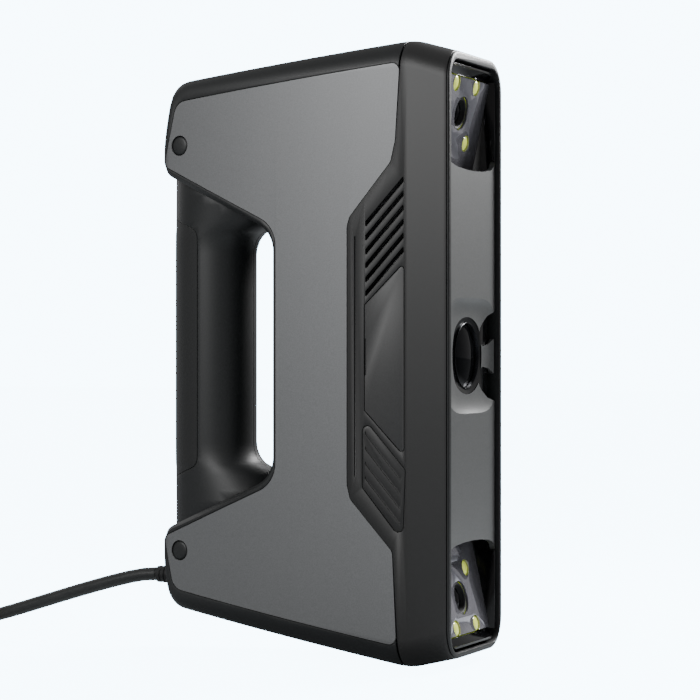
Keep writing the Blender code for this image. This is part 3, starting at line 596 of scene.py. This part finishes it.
leadPoints = smoothRoute([Vector(point) * mm for point in cable["run"]], 6 * mm) + lapPoints()
arcEnd = onOval(cable["tailEnds"], cable["tailRadius"], cable["plugUp"])
leadPoints += [arcEnd, arcEnd + Vector((4, 0, 0)) * mm, arcEnd + Vector((8, 0, 0)) * mm]
leadCurve = bpy.data.curves.new("dataLead", "CURVE")
leadCurve.dimensions = "3D"
leadCurve.bevel_depth = cable["diameter"] / 2 * mm
leadCurve.bevel_resolution = 3
leadCurve.use_fill_caps = True
leadSpline = leadCurve.splines.new("POLY")
leadSpline.points.add(len(leadPoints) - 1)
for splinePoint, at in zip(leadSpline.points, leadPoints):
    splinePoint.co = (*at, 1)
leadSpline.use_smooth = True
dataLead = bpy.data.objects.new("dataLead", leadCurve)
bpy.context.scene.collection.objects.link(dataLead)
leadCurve.materials.append(pvcJacket)
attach(dataLead, "housing")
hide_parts("cable_run", "cable_coil", "cable_tail")
print("lead length", round(sum((b - a).length for a, b in zip(leadPoints, leadPoints[1:])), 4))

# gland: a ribbed rubber sleeve that stops the lead kinking where it leaves the housing
forward = Matrix.Rotation(math.pi / 2, 4, "Y")
glandPlace = Matrix.Translation(atSide(128.0, 28.0)) @ Matrix.Rotation(-math.pi / 2, 4, "Y")
glandProfile = [(0, 12.0), (3.0, 12.0), (3.35, 11.7)]
for i in range(4):
    along = 11.0 - 2.0 * i
    glandProfile += [(3.42 + 0.08 * i, along), (3.42 + 0.08 * i, along - 0.9), (3.0, along - 1.1), (3.0, along - 1.8)]
glandProfile += [(3.8, 3.2), (4.3, 2.9), (4.6, 2.5), (4.6, 1.2), (4.3, 1.0), (3.7, 0.9), (3.7, -8.0), (0, -8.0)]
gland = turnedAbout("leadGland", glandProfile, glandPlace, 40)
finishPiece(gland, softRubber, "cable_gland", angle=35)

# tie: a hook-and-loop strap round the coil's right run
tie = block("coilTie", (-241.0, -30.3, 0), (-229.0, -16.5, 23.7))
combine(tie, [block("tieRoom", (-245, -29.3, -10), (-225, -17.5, 22.7))])
soften(tie, 0.3, 3)
finishPiece(tie, softRubber, "coil_tie", raised=False)

# plug: moulded USB plug with a tapered relief and a bright shell
plugPlace = Matrix.Translation(arcEnd + Vector((8, 0, 0)) * mm)
plugBody = block("plugBody", (11, -6.0, -3.9), (33, 6.0, 3.9), plugPlace)
edit(plugBody)
selectWhere(plugBody, "edges", lambda edge: abs((edge.verts[0].co - edge.verts[1].co).x) > 10 * mm)
bpy.ops.mesh.bevel(offset=2.2 * mm, segments=5)
selectWhere(plugBody, "faces", lambda face: face.normal.x < -0.9)
bpy.ops.mesh.inset(thickness=0.8 * mm)
bpy.ops.transform.translate(value=(-0.8 * mm, 0, 0))
deselectAll()
for i in range(3):
    groove = block("fingerGroove", (24.0 + 2.2 * i, -8, -5), (24.9 + 2.2 * i, 8, 5), plugPlace)
    combine(groove, [block("grooveCore", (20, -5.5, -3.4), (34, 5.5, 3.4), plugPlace)])
    combine(plugBody, [groove])
combine(plugBody, [block("plugMouth", (29.0, -5.6, -2.6), (34, 5.6, 2.6), plugPlace)])
reliefProfile = [(0, 12.0), (4.0, 12.0)]
for i in range(4):
    reliefProfile += [(3.95 - 0.2 * i, 10.6 - 2.6 * i), (3.4 - 0.1 * i, 10.2 - 2.6 * i),
                      (3.35 - 0.1 * i, 9.2 - 2.6 * i), (3.8 - 0.2 * i, 8.9 - 2.6 * i)]
reliefProfile += [(3.0, 0.4), (0, 0.4)]
combine(plugBody, [turnedAbout("plugRelief", reliefProfile, plugPlace @ forward, 32)], "UNION")
finishPiece(plugBody, pvcJacket, "usb_plug", angle=35, raised=False)
plugShell = block("plugShell", (29.3, -5.3, -2.3), (45.0, 5.3, 2.3), plugPlace)
combine(plugShell, [block("shellMouth", (33, -4.9, -0.1), (46, 4.9, 1.9), plugPlace)])
for across in (-2.6, 2.6):
    combine(plugShell, [block("latchWindow", (37.5, across - 1.1, 1.0), (39.7, across + 1.1, 3.0), plugPlace)])
soften(plugShell, 0.12, 2)
finishPiece(plugShell, brightSteel, "usb_plug_shell", raised=False)
print("cable done")


# Body: the outer form is skinned over cross sections, then cut into shells, covers and wings

body = {
    "width": 58.0,
    "depth": 130.0,
    "taperStart": 20.0,
    "taperLength": 1020.0,
    "frontCorner": 12.0,
    "backCorner": 5.5,
    "backRound": 4.0,
    "skin": 2.2,
    "wall": 4.0,
    "noseRound": 0.9,
    "topEdge": [(-2, 233.8, 0), (17.5, 239.4, 20), (123.8, 227.9, 8), (130.4, 197.5, 0)],
    "bottomEdge": [(-2, 3.0, 0), (19.3, -2.1, 20), (125.5, 16.8, 8), (130.6, 41.5, 0)],
    "cutout": [(160, 222.0, 0), (130.2, 222.0, 0), (130.2, 192.4, 10), (76.0, 166.5, 12), (76.0, 70.3, 12),
               (130.2, 47.1, 10), (130.2, 12.0, 0), (160, 12.0, 0)],
    "seam": [(21.9, 200.0, 8), (23.8, 192.0, 4), (41.1, 171.4, 3), (42.2, 167.7, 2), (42.2, 68.3, 2),
             (40.8, 62.8, 3), (23.1, 43.3, 4)],
    "badge": [(34.8, 137.4, 1), (34.8, 97.1, 1), (18.5, 80.1, 1), (18.5, 153.3, 1)],
    "hatch": [(35.7, 94.4, 2), (35.7, 67.5, 2), (19.0, 47.5, 2), (18.0, 74.5, 2)],
    "edgeRound": 0.35,
    "capBack": 120.0,  # screw caps: distance behind the front plane, heights, and the radius of their seats
    "capUps": {"Upper": 202.2, "Lower": 39.8},
    "capSeat": 4.05,
}
wingOutline = [(1.2, 250, 0), (18.5, 250, 0), *body["seam"], (20.0, -10, 0), (1.2, -10, 0)]
coverOutline = [(20.3, 230.0, 3), *((back + gap, up, radius) for back, up, radius in body["seam"]), (21.7, 7.2, 3),
                (123.0, 24.5, 6), (127.8, 45.0, 3), (74.0, 68.1, 12), (74.0, 168.6, 12), (127.8, 194.5, 3),
                (121.5, 219.6, 6)]


def heightOn(path, back):
    for first, second in zip(path, path[1:]):
        if first.x <= back <= second.x:
            return first.y + (second.y - first.y) * (back - first.x) / (second.x - first.x)
    return path[-1].y


def halfWidth(back):
    width = body["width"] / 2 - max(back - body["taperStart"], 0) ** 2 / body["taperLength"]
    rounding = min(max(back - (body["depth"] - 0.5 - body["backRound"]), 0), body["backRound"])
    return width - body["backRound"] + math.sqrt(body["backRound"] ** 2 - rounding ** 2)


def bodyForm(name, inset=0.0, nose=True):
    topPath = cornerArcs(body["topEdge"], closed=False, steps=10)
    bottomPath = cornerArcs(body["bottomEdge"], closed=False, steps=10)
    stations = [0, 0.12, 0.3, 0.55, 0.9, 2.5, 4.5, 6.5, 8.5, 10.5, 12.5, 14.5, 17, 20, 24, 29, 35, 42, 50, 58, 66, 74,
                82, 90, 98, 105, 111, 115, 118, 120.5, 122, 123.2, 124.2, 125.1, 125.9, 126.6, 127.3, 128, 128.6,
                129.1, 129.5]
    piece = blankMesh(name)
    for back in stations:
        edge = 0.0
        if nose and back < body["noseRound"]:
            edge = body["noseRound"] * (1 - math.sqrt(1 - (1 - back / body["noseRound"]) ** 2))
        half = halfWidth(back) - inset - edge
        high = heightOn(topPath, back) - inset - edge
        low = heightOn(bottomPath, back) + inset + edge
        radius = body["frontCorner"] + (body["backCorner"] - body["frontCorner"]) * back / body["depth"] - inset
        radius = min(radius - edge, half * 0.7)
        x = (frontX - (back if back < 129.4 else back - inset)) * mm
        middle = (x, 0, (high + low) / 2 * mm)
        bpy.ops.mesh.select_all(action="DESELECT")
        bpy.ops.mesh.primitive_plane_add(size=1, location=middle, rotation=(0, math.pi / 2, 0))
        bpy.ops.transform.resize(value=(1, 2 * half * mm, (high - low) * mm), center_override=middle)
        bpy.ops.mesh.bevel(offset=radius * mm, segments=8, profile=0.5, affect="VERTICES")
        bpy.ops.mesh.delete(type="ONLY_FACE")
    return closeBridge(piece)


def halfRoom(name, sign):
    near, far = sorted((sign * gap / 2, sign * 60.0))
    return block(name, (-120, near, -50), (120, far, 300))


def capPlace(sign, up, back=body["capBack"]):
    # on the tapered side, with local Z pointing out of it
    slope = math.atan(2 * (back - body["taperStart"]) / body["taperLength"])
    return (Matrix.Translation(atSide(back, up, sign * halfWidth(back))) @ Matrix.Rotation(sign * slope, 4, "Z")
            @ Matrix.Rotation(-sign * math.pi / 2, 4, "X"))


outerForm = bodyForm("outerForm")
underSkin = bodyForm("underSkin", body["skin"], nose=False)
pocketFloor = bodyForm("pocketFloor", body["skin"] + gap, nose=False)
print("body form ready")

# side covers: sprayed panels with softened edges, and a counterbore over each clamping screw
rightCover = sidePrism("rightCover", coverOutline, -40, -12, steps=8)
combine(rightCover, [outerForm], "INTERSECT", keep=True)
combine(rightCover, [underSkin], keep=True)
for up in body["capUps"].values():
    combine(rightCover, [rod("capHole", body["capSeat"], -6, 6, capPlace(-1, up), 48)])
soften(rightCover, body["edgeRound"], 3)
leftCover = mirrored(rightCover, "leftCover")
finishPiece(rightCover, greyPaint, "right_cover", even=True)
finishPiece(leftCover, greyPaint, "left_cover", even=True)

# screw caps: shallow rubber-black discs with a domed top and a parting groove
capProfile = [(0, 0.15), (1.6, 0.12), (2.8, 0.02), (3.35, -0.12), (3.65, -0.4), (3.75, -0.7), (3.75, -1.9), (0, -1.9)]
for side, sign in (("right", -1), ("left", 1)):
    for level, up in body["capUps"].items():
        cap = turnedAbout(f"{side}{level}Cap", capProfile, capPlace(sign, up), 40)
        finishPiece(cap, blackAbs, f"{side}_{level.lower()}_screw_cap", angle=40)
print("covers done")

# side wings, joined over the nose: six slanting vent slots, a long upright slot, and recesses for the two plates
vents = {"count": 6, "start": (34.6, 168.3), "pitch": 5.36, "reach": 16.1, "rise": 17.2, "halfTall": 1.2}
slots = []
for i in range(vents["count"]):
    back, up = vents["start"][0], vents["start"][1] - vents["pitch"] * i
    outline = [(back, up - vents["halfTall"], 0.3), (back, up + vents["halfTall"], 0.3),
               (back - vents["reach"], up + vents["rise"] + vents["halfTall"], 0.3),
               (back - vents["reach"], up + vents["rise"] - vents["halfTall"], 0.3)]
    slots.append(sidePrism(f"ventSlot{i}", outline, -40, -20, steps=2))
uprightSlot = [(39.3, 71.5, 0), (39.3, 163.9, 0), (38.5, 163.9, 0), (38.5, 71.5, 0)]
slots.append(sidePrism("uprightSlot", uprightSlot, -40, -28))
rightWing = sidePrism("rightWing", wingOutline, -40, -gap / 2, steps=6)
combine(rightWing, [outerForm], "INTERSECT", keep=True)
combine(rightWing, [underSkin], keep=True)
nose = {"half": 26.4, "bottom": 4.6, "top": 231.2, "corner": 7.5, "ring": 1.0, "flange": 0.9, "depth": 6.0}


def noseRim(by):
    return rectangle(nose["half"] + by, nose["bottom"] - by, nose["top"] + by, nose["corner"] + by)


combine(rightWing, [frontPrism("noseRoom", noseRim(nose["ring"] + gap), -10, nose["depth"] + gap, 8)])
combine(rightWing, slots, keep=True)
combine(rightWing, [sidePrism("badgeRecess", growOutline(body["badge"], gap), -40, -27.8, 3),
                    sidePrism("hatchRecess", growOutline(body["hatch"], gap), -40, -27.8, 3)])
soften(rightWing, 0.22, 2)
leftWing = mirrored(rightWing, "leftWing")
finishPiece(rightWing, charcoalAbs, "right_wing")
finishPiece(leftWing, charcoalAbs, "left_wing")

# plates set into the wings: a plain badge panel, and a port hatch with slanting grip grooves
plates = {
    "near": -28.85,  # outer and inner faces, across the body
    "far": -28.1,
    "notch": [(34.2, 110.5, 0), (34.2, 124.5, 0), (36.0, 124.5, 0), (36.0, 110.5, 0)],
    "grooves": {"count": 4, "start": (34.6, 88.4), "pitch": 5.7, "reach": 14.5, "fall": 17.2, "halfTall": 0.5},
    "pull": [(31.8, 60.9, 0), (31.8, 62.3, 0), (24.1, 53.6, 0), (24.1, 52.2, 0)],
    "grooveFloor": -28.4,
}
rightBadge = sidePrism("rightBadge", body["badge"], plates["near"], plates["far"], 3)
combine(rightBadge, [sidePrism("badgeNotch", plates["notch"], -40, -20)])
soften(rightBadge, 0.18, 2)
leftBadge = mirrored(rightBadge, "leftBadge")
finishPiece(rightBadge, badgeAbs, "right_badge_plate")
finishPiece(leftBadge, badgeAbs, "left_badge_plate")
rightHatch = sidePrism("rightHatch", body["hatch"], plates["near"], plates["far"], 3)
groove = plates["grooves"]
grooves = []
for i in range(groove["count"]):
    back, up = groove["start"][0], groove["start"][1] - groove["pitch"] * i
    foot = up - groove["fall"]
    outline = [(back, up - groove["halfTall"], 0), (back, up + groove["halfTall"], 0),
               (back - groove["reach"], foot + groove["halfTall"], 0),
               (back - groove["reach"], foot - groove["halfTall"], 0)]
    grooves.append(sidePrism("gripGroove", outline, -40, plates["grooveFloor"]))
grooves.append(sidePrism("pullGroove", plates["pull"], -40, plates["grooveFloor"]))
combine(rightHatch, grooves)
soften(rightHatch, 0.12, 2)
leftHatch = mirrored(rightHatch, "leftHatch")
finishPiece(rightHatch, charcoalAbs, "right_port_hatch")
finishPiece(leftHatch, charcoalAbs, "left_port_hatch")
print("wings and plates done")

# shells: everything the covers and wings lie on, with a bevelled black lip round the handle opening
rightShell = copyOf(outerForm, "rightShell")
combine(rightShell, [halfRoom("rightHalf", -1)], "INTERSECT")
cavity = bodyForm("cavity", body["wall"], nose=False)
combine(cavity, [sidePrism("cavityStop", growOutline(body["cutout"], 3.5), -50, 50)])
combine(rightShell, [cavity, sidePrism("handleOpening", body["cutout"], -50, 50, 10)])
coverPocket = sidePrism("coverPocket", growOutline(coverOutline, gap), -40, -11.7, 8)
combine(coverPocket, [pocketFloor], keep=True)
wingSeam = [(back + 2 * gap, up, radius) for back, up, radius in body["seam"]]
wingRoom = [(-10, 260, 0), (18.8, 260, 0), *wingSeam, (20.3, -20, 0), (-10, -20, 0)]
wingPocket = sidePrism("wingPocket", wingRoom, -40, 1.0)
combine(wingPocket, [pocketFloor], keep=True)
noseClearance = [(-6.6, -20, 0), (6.6, -20, 0), (6.6, 260, 0), (-6.6, 260, 0)]
combine(rightShell, [coverPocket, wingPocket, sidePrism("noseClearance", noseClearance, -50, 50)])
for up in body["capUps"].values():
    across = Matrix.Translation(atSide(body["capBack"], up)) @ Matrix.Rotation(math.pi / 2, 4, "X")
    combine(rightShell, [rod("screwBoss", 4.6, gap / 2, 15.5, across, 24)], "UNION")
    combine(rightShell, [rod("screwBore", 1.9, -1, 30, across, 24), rod("headRoom", 3.6, 11.5, 30, across, 24),
                         rod("capSeat", body["capSeat"], -2.2, 6, capPlace(-1, up), 40)])
combine(rightShell, slots)


def lipFlare(name, outline, wide, deep):
    # a cutter that widens towards the tapered side, for the bevel round the opening
    rings = []
    for grow, depth in ((wide + 0.6, -0.6), (-0.4, deep + 0.4)):
        rings.append([atSide(at.x, at.y, -(halfWidth(min(at.x, 129)) - depth))
                      for at in cornerArcs(growOutline(outline, grow), steps=10)])
    return bridged(name, rings)


combine(rightShell, [lipFlare("lipFlare", body["cutout"], 1.3, 1.9)])
leftShell = mirrored(rightShell, "leftShell")
buttonPlace = (Matrix.Translation(atSide(127.2, 209.5)) @ Matrix.Rotation(math.radians(14), 4, "Y")
               @ Matrix.Rotation(-math.pi / 2, 4, "Y"))
for shell in (rightShell, leftShell):
    combine(shell, [block("buttonRecess", (-5.6, -14.3, -1.3), (5.6, 14.3, 10), buttonPlace),
                    block("buttonWindow", (-4.6, -13.1, -6.6), (4.6, 13.1, 5), buttonPlace),
                    rod("glandHole", 4.0, -20, 20, glandPlace, 40)])
    soften(shell, 0.2, 2)
finishPiece(rightShell, blackAbs, "right_shell")
finishPiece(leftShell, blackAbs, "left_shell")
print("shells done")

# nose bezel: a thin flange over the whole outline and a ring inside the wings
noseBezel = frontPrism("noseBezel", rectangle(40, -20, 260), -10, nose["flange"])
combine(noseBezel, [frontPrism("noseRing", noseRim(nose["ring"]), 0, nose["depth"], 8)], "UNION")
combine(noseBezel, [outerForm], "INTERSECT", keep=True)
combine(noseBezel, [frontPrism("noseOpening", noseRim(0), -10, 20, 8)])
soften(noseBezel, 0.25, 3)
finishPiece(noseBezel, blackAbs, "front_bezel")

# grip: two oval shells between the lobes, and a rubber strap down the back
grip = {"back": 130.0, "front": 96.5, "half": 15.5, "bend": 11.0, "turn": 10.56, "straight": (83, 159), "sides": 48,
        "ups": [30, 52, 60, 64, 68, 70, 72.4, 74.5, 76, 77.5, 80, 83, 95, 108, 121, 134, 147, 159, 161.5, 164.5,
                166, 167.5, 169.6, 172, 174, 178, 182, 190, 212]}


def gripRing(up, inset):
    # an oval section that flares forwards into the body below and above its straight part
    flare = max(up - grip["straight"][1], grip["straight"][0] - up, 0)
    turned = min(flare, grip["turn"])
    front = grip["front"] - (grip["bend"] - math.sqrt(grip["bend"] ** 2 - turned ** 2)) - 0.9 * (flare - turned)
    middle, reach = (grip["back"] + front) / 2, (grip["back"] - front) / 2
    half = grip["half"] + 0.10 * max(flare - 4, 0)
    ring = []
    forwards = 1 / math.cos(math.pi / 24)  # the front of the oval is this much fuller
    for i in range(grip["sides"]):
        angle = 2 * math.pi * (i + 0.5) / grip["sides"]
        fuller = forwards if math.cos(angle) < 0 else 1
        back = middle + (reach - inset) * fuller * math.cos(angle)
        ring.append(atSide(back, up, (half - inset) * math.sin(angle)))
    return ring


def gripForm(name, inset, stretch=0):
    ups = list(grip["ups"])
    ups[0], ups[-1] = ups[0] - stretch, ups[-1] + stretch
    return bridged(name, [gripRing(up, inset) for up in ups])


strapOutline = [(114.0, 168.0, 4), (114.0, 74.0, 4), (140.0, 64.0, 0), (140.0, 178.0, 0)]
gripSolid = gripForm("gripSolid", 0)
gripHollow = gripForm("gripHollow", 3.2, 10)
strapRoom = sidePrism("strapRoom", growOutline(strapOutline, gap), -50, 50, 8)
combine(strapRoom, [gripForm("strapFloor", 1.9)])
combine(gripSolid, [sidePrism("gripLimits", growOutline(body["cutout"], -gap), -50, 50, 10)], "INTERSECT")
combine(gripSolid, [gripHollow, strapRoom])
rightGrip = copyOf(gripSolid, "rightGrip")
combine(rightGrip, [halfRoom("rightGripHalf", -1)], "INTERSECT")
leftGrip = copyOf(gripSolid, "leftGrip")
combine(leftGrip, [halfRoom("leftGripHalf", 1)], "INTERSECT")
bpy.data.objects.remove(gripSolid)
for piece, side in ((rightGrip, "right"), (leftGrip, "left")):
    soften(piece, 0.2, 2)
    finishPiece(piece, blackAbs, side + "_grip_shell", angle=35)
strap = sidePrism("backStrap", strapOutline, -50, 50, 8)
combine(strap, [gripForm("strapForm", 0)], "INTERSECT")
combine(strap, [gripForm("strapCore", 1.6, 10)])
soften(strap, 0.3, 3)
finishPiece(strap, softRubber, "back_strap", angle=35)
print("grip done")
for form in (outerForm, underSkin, pocketFloor):
    bpy.data.objects.remove(form)


# Front: one grey face plate with a shallow dish round the projector, between two camera windows

front = {
    "plate": (1.8, 3.8),  # behind the front plane
    "windowEnd": [(25.2, 195.2), (24.3, 193.2), (22.0, 191.7), (17.0, 190.7), (9.0, 190.1), (0, 189.9)],
    "dish": (25.9, 22.4, 4.6),  # half width, half height and squareness of its outer outline
    "dishShares": (0, 0.1, 0.2, 0.32, 0.46, 0.62, 0.8, 1),
    "dishSides": 72,
    "lensHole": 13.1,
    "lobe": [(26.5, 18.2), (20.0, 15.6), (14.4, 11.2), (12.9, 8.2), (13.9, 5.2), (17.0, 3.6), (21.5, 4.4),
             (26.5, 7.4)],
    "lowLobe": [(26.5, -18.6), (20.0, -16.6), (14.0, -12.6), (11.4, -9.2), (12.6, -6.2), (17.0, -4.4), (22.0, -5.0),
                (26.5, -8.0)],
    "hood": (24.4, 93.6, 142.4, 3),  # half width, bottom, top and corner
    "hoodHole": 13.2,
    "hoodBack": 9.0,
    "lensRing": [(12.6, -3.9), (12.68, -3.75), (12.82, -3.72), (12.9, -3.8), (12.9, -8.7), (12.6, -8.7),
                 (12.6, -3.9)],
    "lensGlass": [(0, -3.85), (3.0, -3.93), (6.0, -4.17), (8.6, -4.56), (10.6, -5.0), (12.0, -5.4), (12.4, -5.7),
                  (12.4, -11.0), (0, -11.0)],
}
near, far = front["plate"]


def dishRing(back, share):
    # from the squarish outline at share 0 to the round lens hole at share 1
    ring = []
    wide, tall, squareness = front["dish"]
    for i in range(front["dishSides"]):
        angle = 2 * math.pi * (i + 0.5) / front["dishSides"]
        across, up = math.cos(angle), math.sin(angle)
        reach = (abs(across / wide) ** squareness + abs(up / tall) ** squareness) ** (-1 / squareness)
        reach += (front["lensHole"] - reach) * share
        ring.append(atSide(back, midUp + reach * up, reach * across))
    return ring


farArc = list(front["windowEnd"])
nearArc = [(-across, up) for across, up in farArc]
upperArc = nearArc + farArc[-2::-1]
plateRing = upperArc + [(-across, 2 * midUp - up) for across, up in upperArc]
facePlate = pullOut("facePlate", [atSide(near, up, across) for across, up in plateRing], ((near - far) * mm, 0, 0))
# the dish drops steeply at its rim and flattens towards the lens
dish = [dishRing(near + (far + 0.02 - near) * (1 - (1 - share) ** 3), share) for share in front["dishShares"]]
combine(facePlate, [bridged("dish", [dishRing(near - 0.3, -0.05), *dish, dishRing(far + 2, 1)])])
lobes = []
for outline in (front["lobe"], front["lowLobe"]):
    ring = [atSide(-5, midUp + up, across) for across, up in outline]
    lobes.append(pullOut("lobe", ring, (-20 * mm, 0, 0)))
combine(facePlate, lobes)
soften(facePlate, 0.12, 2, angle=50)
finishPiece(facePlate, facePaint, "face_plate", angle=14, even=True)

projectorPlace = Matrix.Translation(atSide(0, midUp)) @ forward
hood = frontPrism("projectorHood", rectangle(*front["hood"]), far + gap, front["hoodBack"], 6)
combine(hood, [rod("hoodHole", front["hoodHole"], -30, 0, projectorPlace, 72)])
soften(hood, 0.15, 2)
finishPiece(hood, glossBlack, "projector_hood")
lensRing = turnedAbout("projectorLensRing", front["lensRing"], projectorPlace, 72)
finishPiece(lensRing, blackSteel, "projector_lens_ring", angle=40)
projectorGlass = turnedAbout("projectorLensGlass", front["lensGlass"], projectorPlace, 72)
finishPiece(projectorGlass, lensGlass, "projector_lens_glass", angle=40)
print("face plate done")

# camera windows: the upper set is made and turned over for the lower one
eyes = {
    "tilt": 12.1,
    "centre": (6.2, 212.3),  # of the plate, behind the front plane and up
    "plate": ((-1.0, -23.3, -24.5), (0, 23.3, 13.8)),
    "board": ((-2.3, -13.4, -13.8), (-1.6, 13.4, 13.6)),
    "boardHole": 8.2,
    "lens": 6.7,  # radii of the holes for the lens, the lamps and the barrel
    "lamp": 3.3,
    "barrel": 6.8,
    "across": 10.5,  # the lamps' distances from the lens
    "along": 11.1,
    "lampDome": [(0, 0.05), (1.0, 0.0), (1.9, -0.15), (2.6, -0.45), (2.9, -0.9), (2.95, -1.9), (0, -1.9)],
    "lensBarrel": [(5.0, -2.9), (5.35, -2.3), (5.45, -1.0), (5.65, -0.8), (6.2, -0.8), (6.4, -1.0), (6.4, -11.0),
                   (5.0, -11.0), (5.0, -2.9)],
    "lensGlass": [(0, -1.6), (1.6, -1.66), (3.0, -1.9), (4.2, -2.35), (4.8, -2.75), (4.8, -5.0), (0, -5.0)],
    "half": 24.6,  # of the window liner
    "liner": [(1.2, 230.0, 0), (8.8, 230.0, 0), (17.5, 185.0, 0), (4.2, 185.0, 0), (4.2, 195.4, 0), (1.2, 195.4, 0)],
    "linerCorners": (24.7, 100, 230.1, 7.5),
    "room": [(-2, 229.2, 0), (1.6, 229.2, 0), (4.1, 226.5, 0), (6.9, 226.5, 0), (15.4, 186.6, 0), (-2, 186.6, 0)],
}
upperPlace = Matrix.Translation(atSide(*eyes["centre"])) @ Matrix.Rotation(math.radians(eyes["tilt"]), 4, "Y")
lampSpots = [upperPlace @ Matrix.Translation((0, across * mm, along * mm)) @ forward
             for across in (-eyes["across"], eyes["across"]) for along in (-eyes["along"], eyes["along"])]
lensPlace = upperPlace @ forward

liner = sidePrism("upperWindowLiner", eyes["liner"], -eyes["half"], eyes["half"])
combine(liner, [frontPrism("linerCorners", rectangle(*eyes["linerCorners"]), -10, 30, 8)], "INTERSECT")
combine(liner, [sidePrism("windowRoom", eyes["room"], 1 - eyes["half"], eyes["half"] - 1),
                rod("barrelHole", eyes["barrel"], -30, 10, lensPlace, 48)])
soften(liner, 0.15, 2)

plate = block("upperCameraPlate", *eyes["plate"], upperPlace)
combine(plate, [rod("lensHole", eyes["lens"], -10, 10, lensPlace, 64)])
combine(plate, [rod("lampHole", eyes["lamp"], -10, 10, spot, 40) for spot in lampSpots])
soften(plate, 0.12, 2)

lamps = block("upperLamps", *eyes["board"], upperPlace)
combine(lamps, [rod("boardHole", eyes["boardHole"], -10, 10, lensPlace, 48)])
combine(lamps, [turnedAbout("lampDome", eyes["lampDome"], spot, 32) for spot in lampSpots], "UNION")

barrel = turnedAbout("upperLensBarrel", eyes["lensBarrel"], lensPlace, 56)
glass = turnedAbout("upperLensGlass", eyes["lensGlass"], lensPlace, 56)
for piece, finish, node, slotName in ((liner, glossBlack, "window_liner", "gloss_black"),
                                      (plate, plateCoating, "camera_plate", "camera_plate"),
                                      (lamps, phosphorWithPaintedGlow, "led_board", "led"),
                                      (barrel, softRubber, "lens_barrel", "black_body"),
                                      (glass, lensGlass, "lens_glass", "lens_glass")):
    lower = mirrored(piece, piece.name.replace("upper", "lower"), "Z")
    finishPiece(piece, finish, "upper_" + node, angle=35)
    finishPiece(lower, finish, "lower_" + node, angle=35)
print("camera windows done")


# Buttons on the back of the upper lobe, each on its own body

buttons = {
    "bezel": ((-5.3, -14.0, -1.0), (5.3, 14.0, 0.2)),
    "row": (("minus", -9.5, 3.0), ("start", 0.0, 4.2), ("plus", 9.5, 3.0)),  # name, place across and radius
    "foot": -3.0,
    "markFloor": 0.8,
    "bar": [(-1.1, -0.25), (-1.1, 0.25), (1.1, 0.25), (1.1, -0.25)],
    "upright": [(-0.25, -1.1), (-0.25, 1.1), (0.25, 1.1), (0.25, -1.1)],
    "arrow": [(-1.1, -1.3), (-1.1, 1.3), (1.3, 0.0)],
}
marks = {"minus": ["bar"], "start": ["arrow"], "plus": ["bar", "upright"]}


def markCutter(outline, spot):
    # side and up are as seen by the hand that holds the grip
    ring = [spot @ Vector((-up * mm, side * mm, buttons["markFloor"] * mm)) for side, up in outline]
    return pullOut("mark", ring, spot.to_3x3() @ Vector((0, 0, 2 * mm)))


buttonBezel = block("buttonBezel", *buttons["bezel"], buttonPlace)
for word, across, radius in buttons["row"]:
    spot = buttonPlace @ Matrix.Translation((0, across * mm, 0))
    combine(buttonBezel, [rod("buttonHole", radius + gap, -10, 10, spot, 48)])
soften(buttonBezel, 0.25, 3)
finishPiece(buttonBezel, charcoalAbs, "button_bezel")
for word, across, radius in buttons["row"]:
    spot = buttonPlace @ Matrix.Translation((0, across * mm, 0))
    # a dished top with a rolled rim
    profile = [(0, 1.0), (radius * 0.45, 1.06), (radius * 0.72, 1.22), (radius - 0.55, 1.38), (radius - 0.25, 1.3),
               (radius, 1.0), (radius, buttons["foot"]), (0, buttons["foot"])]
    button = turnedAbout(word + "Button", profile, spot, 48)
    combine(button, [markCutter(buttons[mark], spot) for mark in marks[word]])
    finishPiece(button, softRubber, word + "_button", body=word + "_button", angle=35)
print("buttons done")


# Parts inside that keep their own shape: each gets its real finish

inside = {
    "upper_camera_module": milledAluminium, "lower_camera_module": milledAluminium, "optical_bench": milledAluminium,
    "projector_engine": milledAluminium, "projector_heatsink": milledAluminium, "upper_clamp_screw": brightSteel,
    "lower_clamp_screw": brightSteel, "main_board": solderMask, "button_board": solderMask,
    "projector_barrel": blackAbs, "fan_frame": blackAbs, "fan_rotor": charcoalAbs,
}
for node, surface in inside.items():
    for place in frame["nodes"][node].material_slots:
        place.material = surface
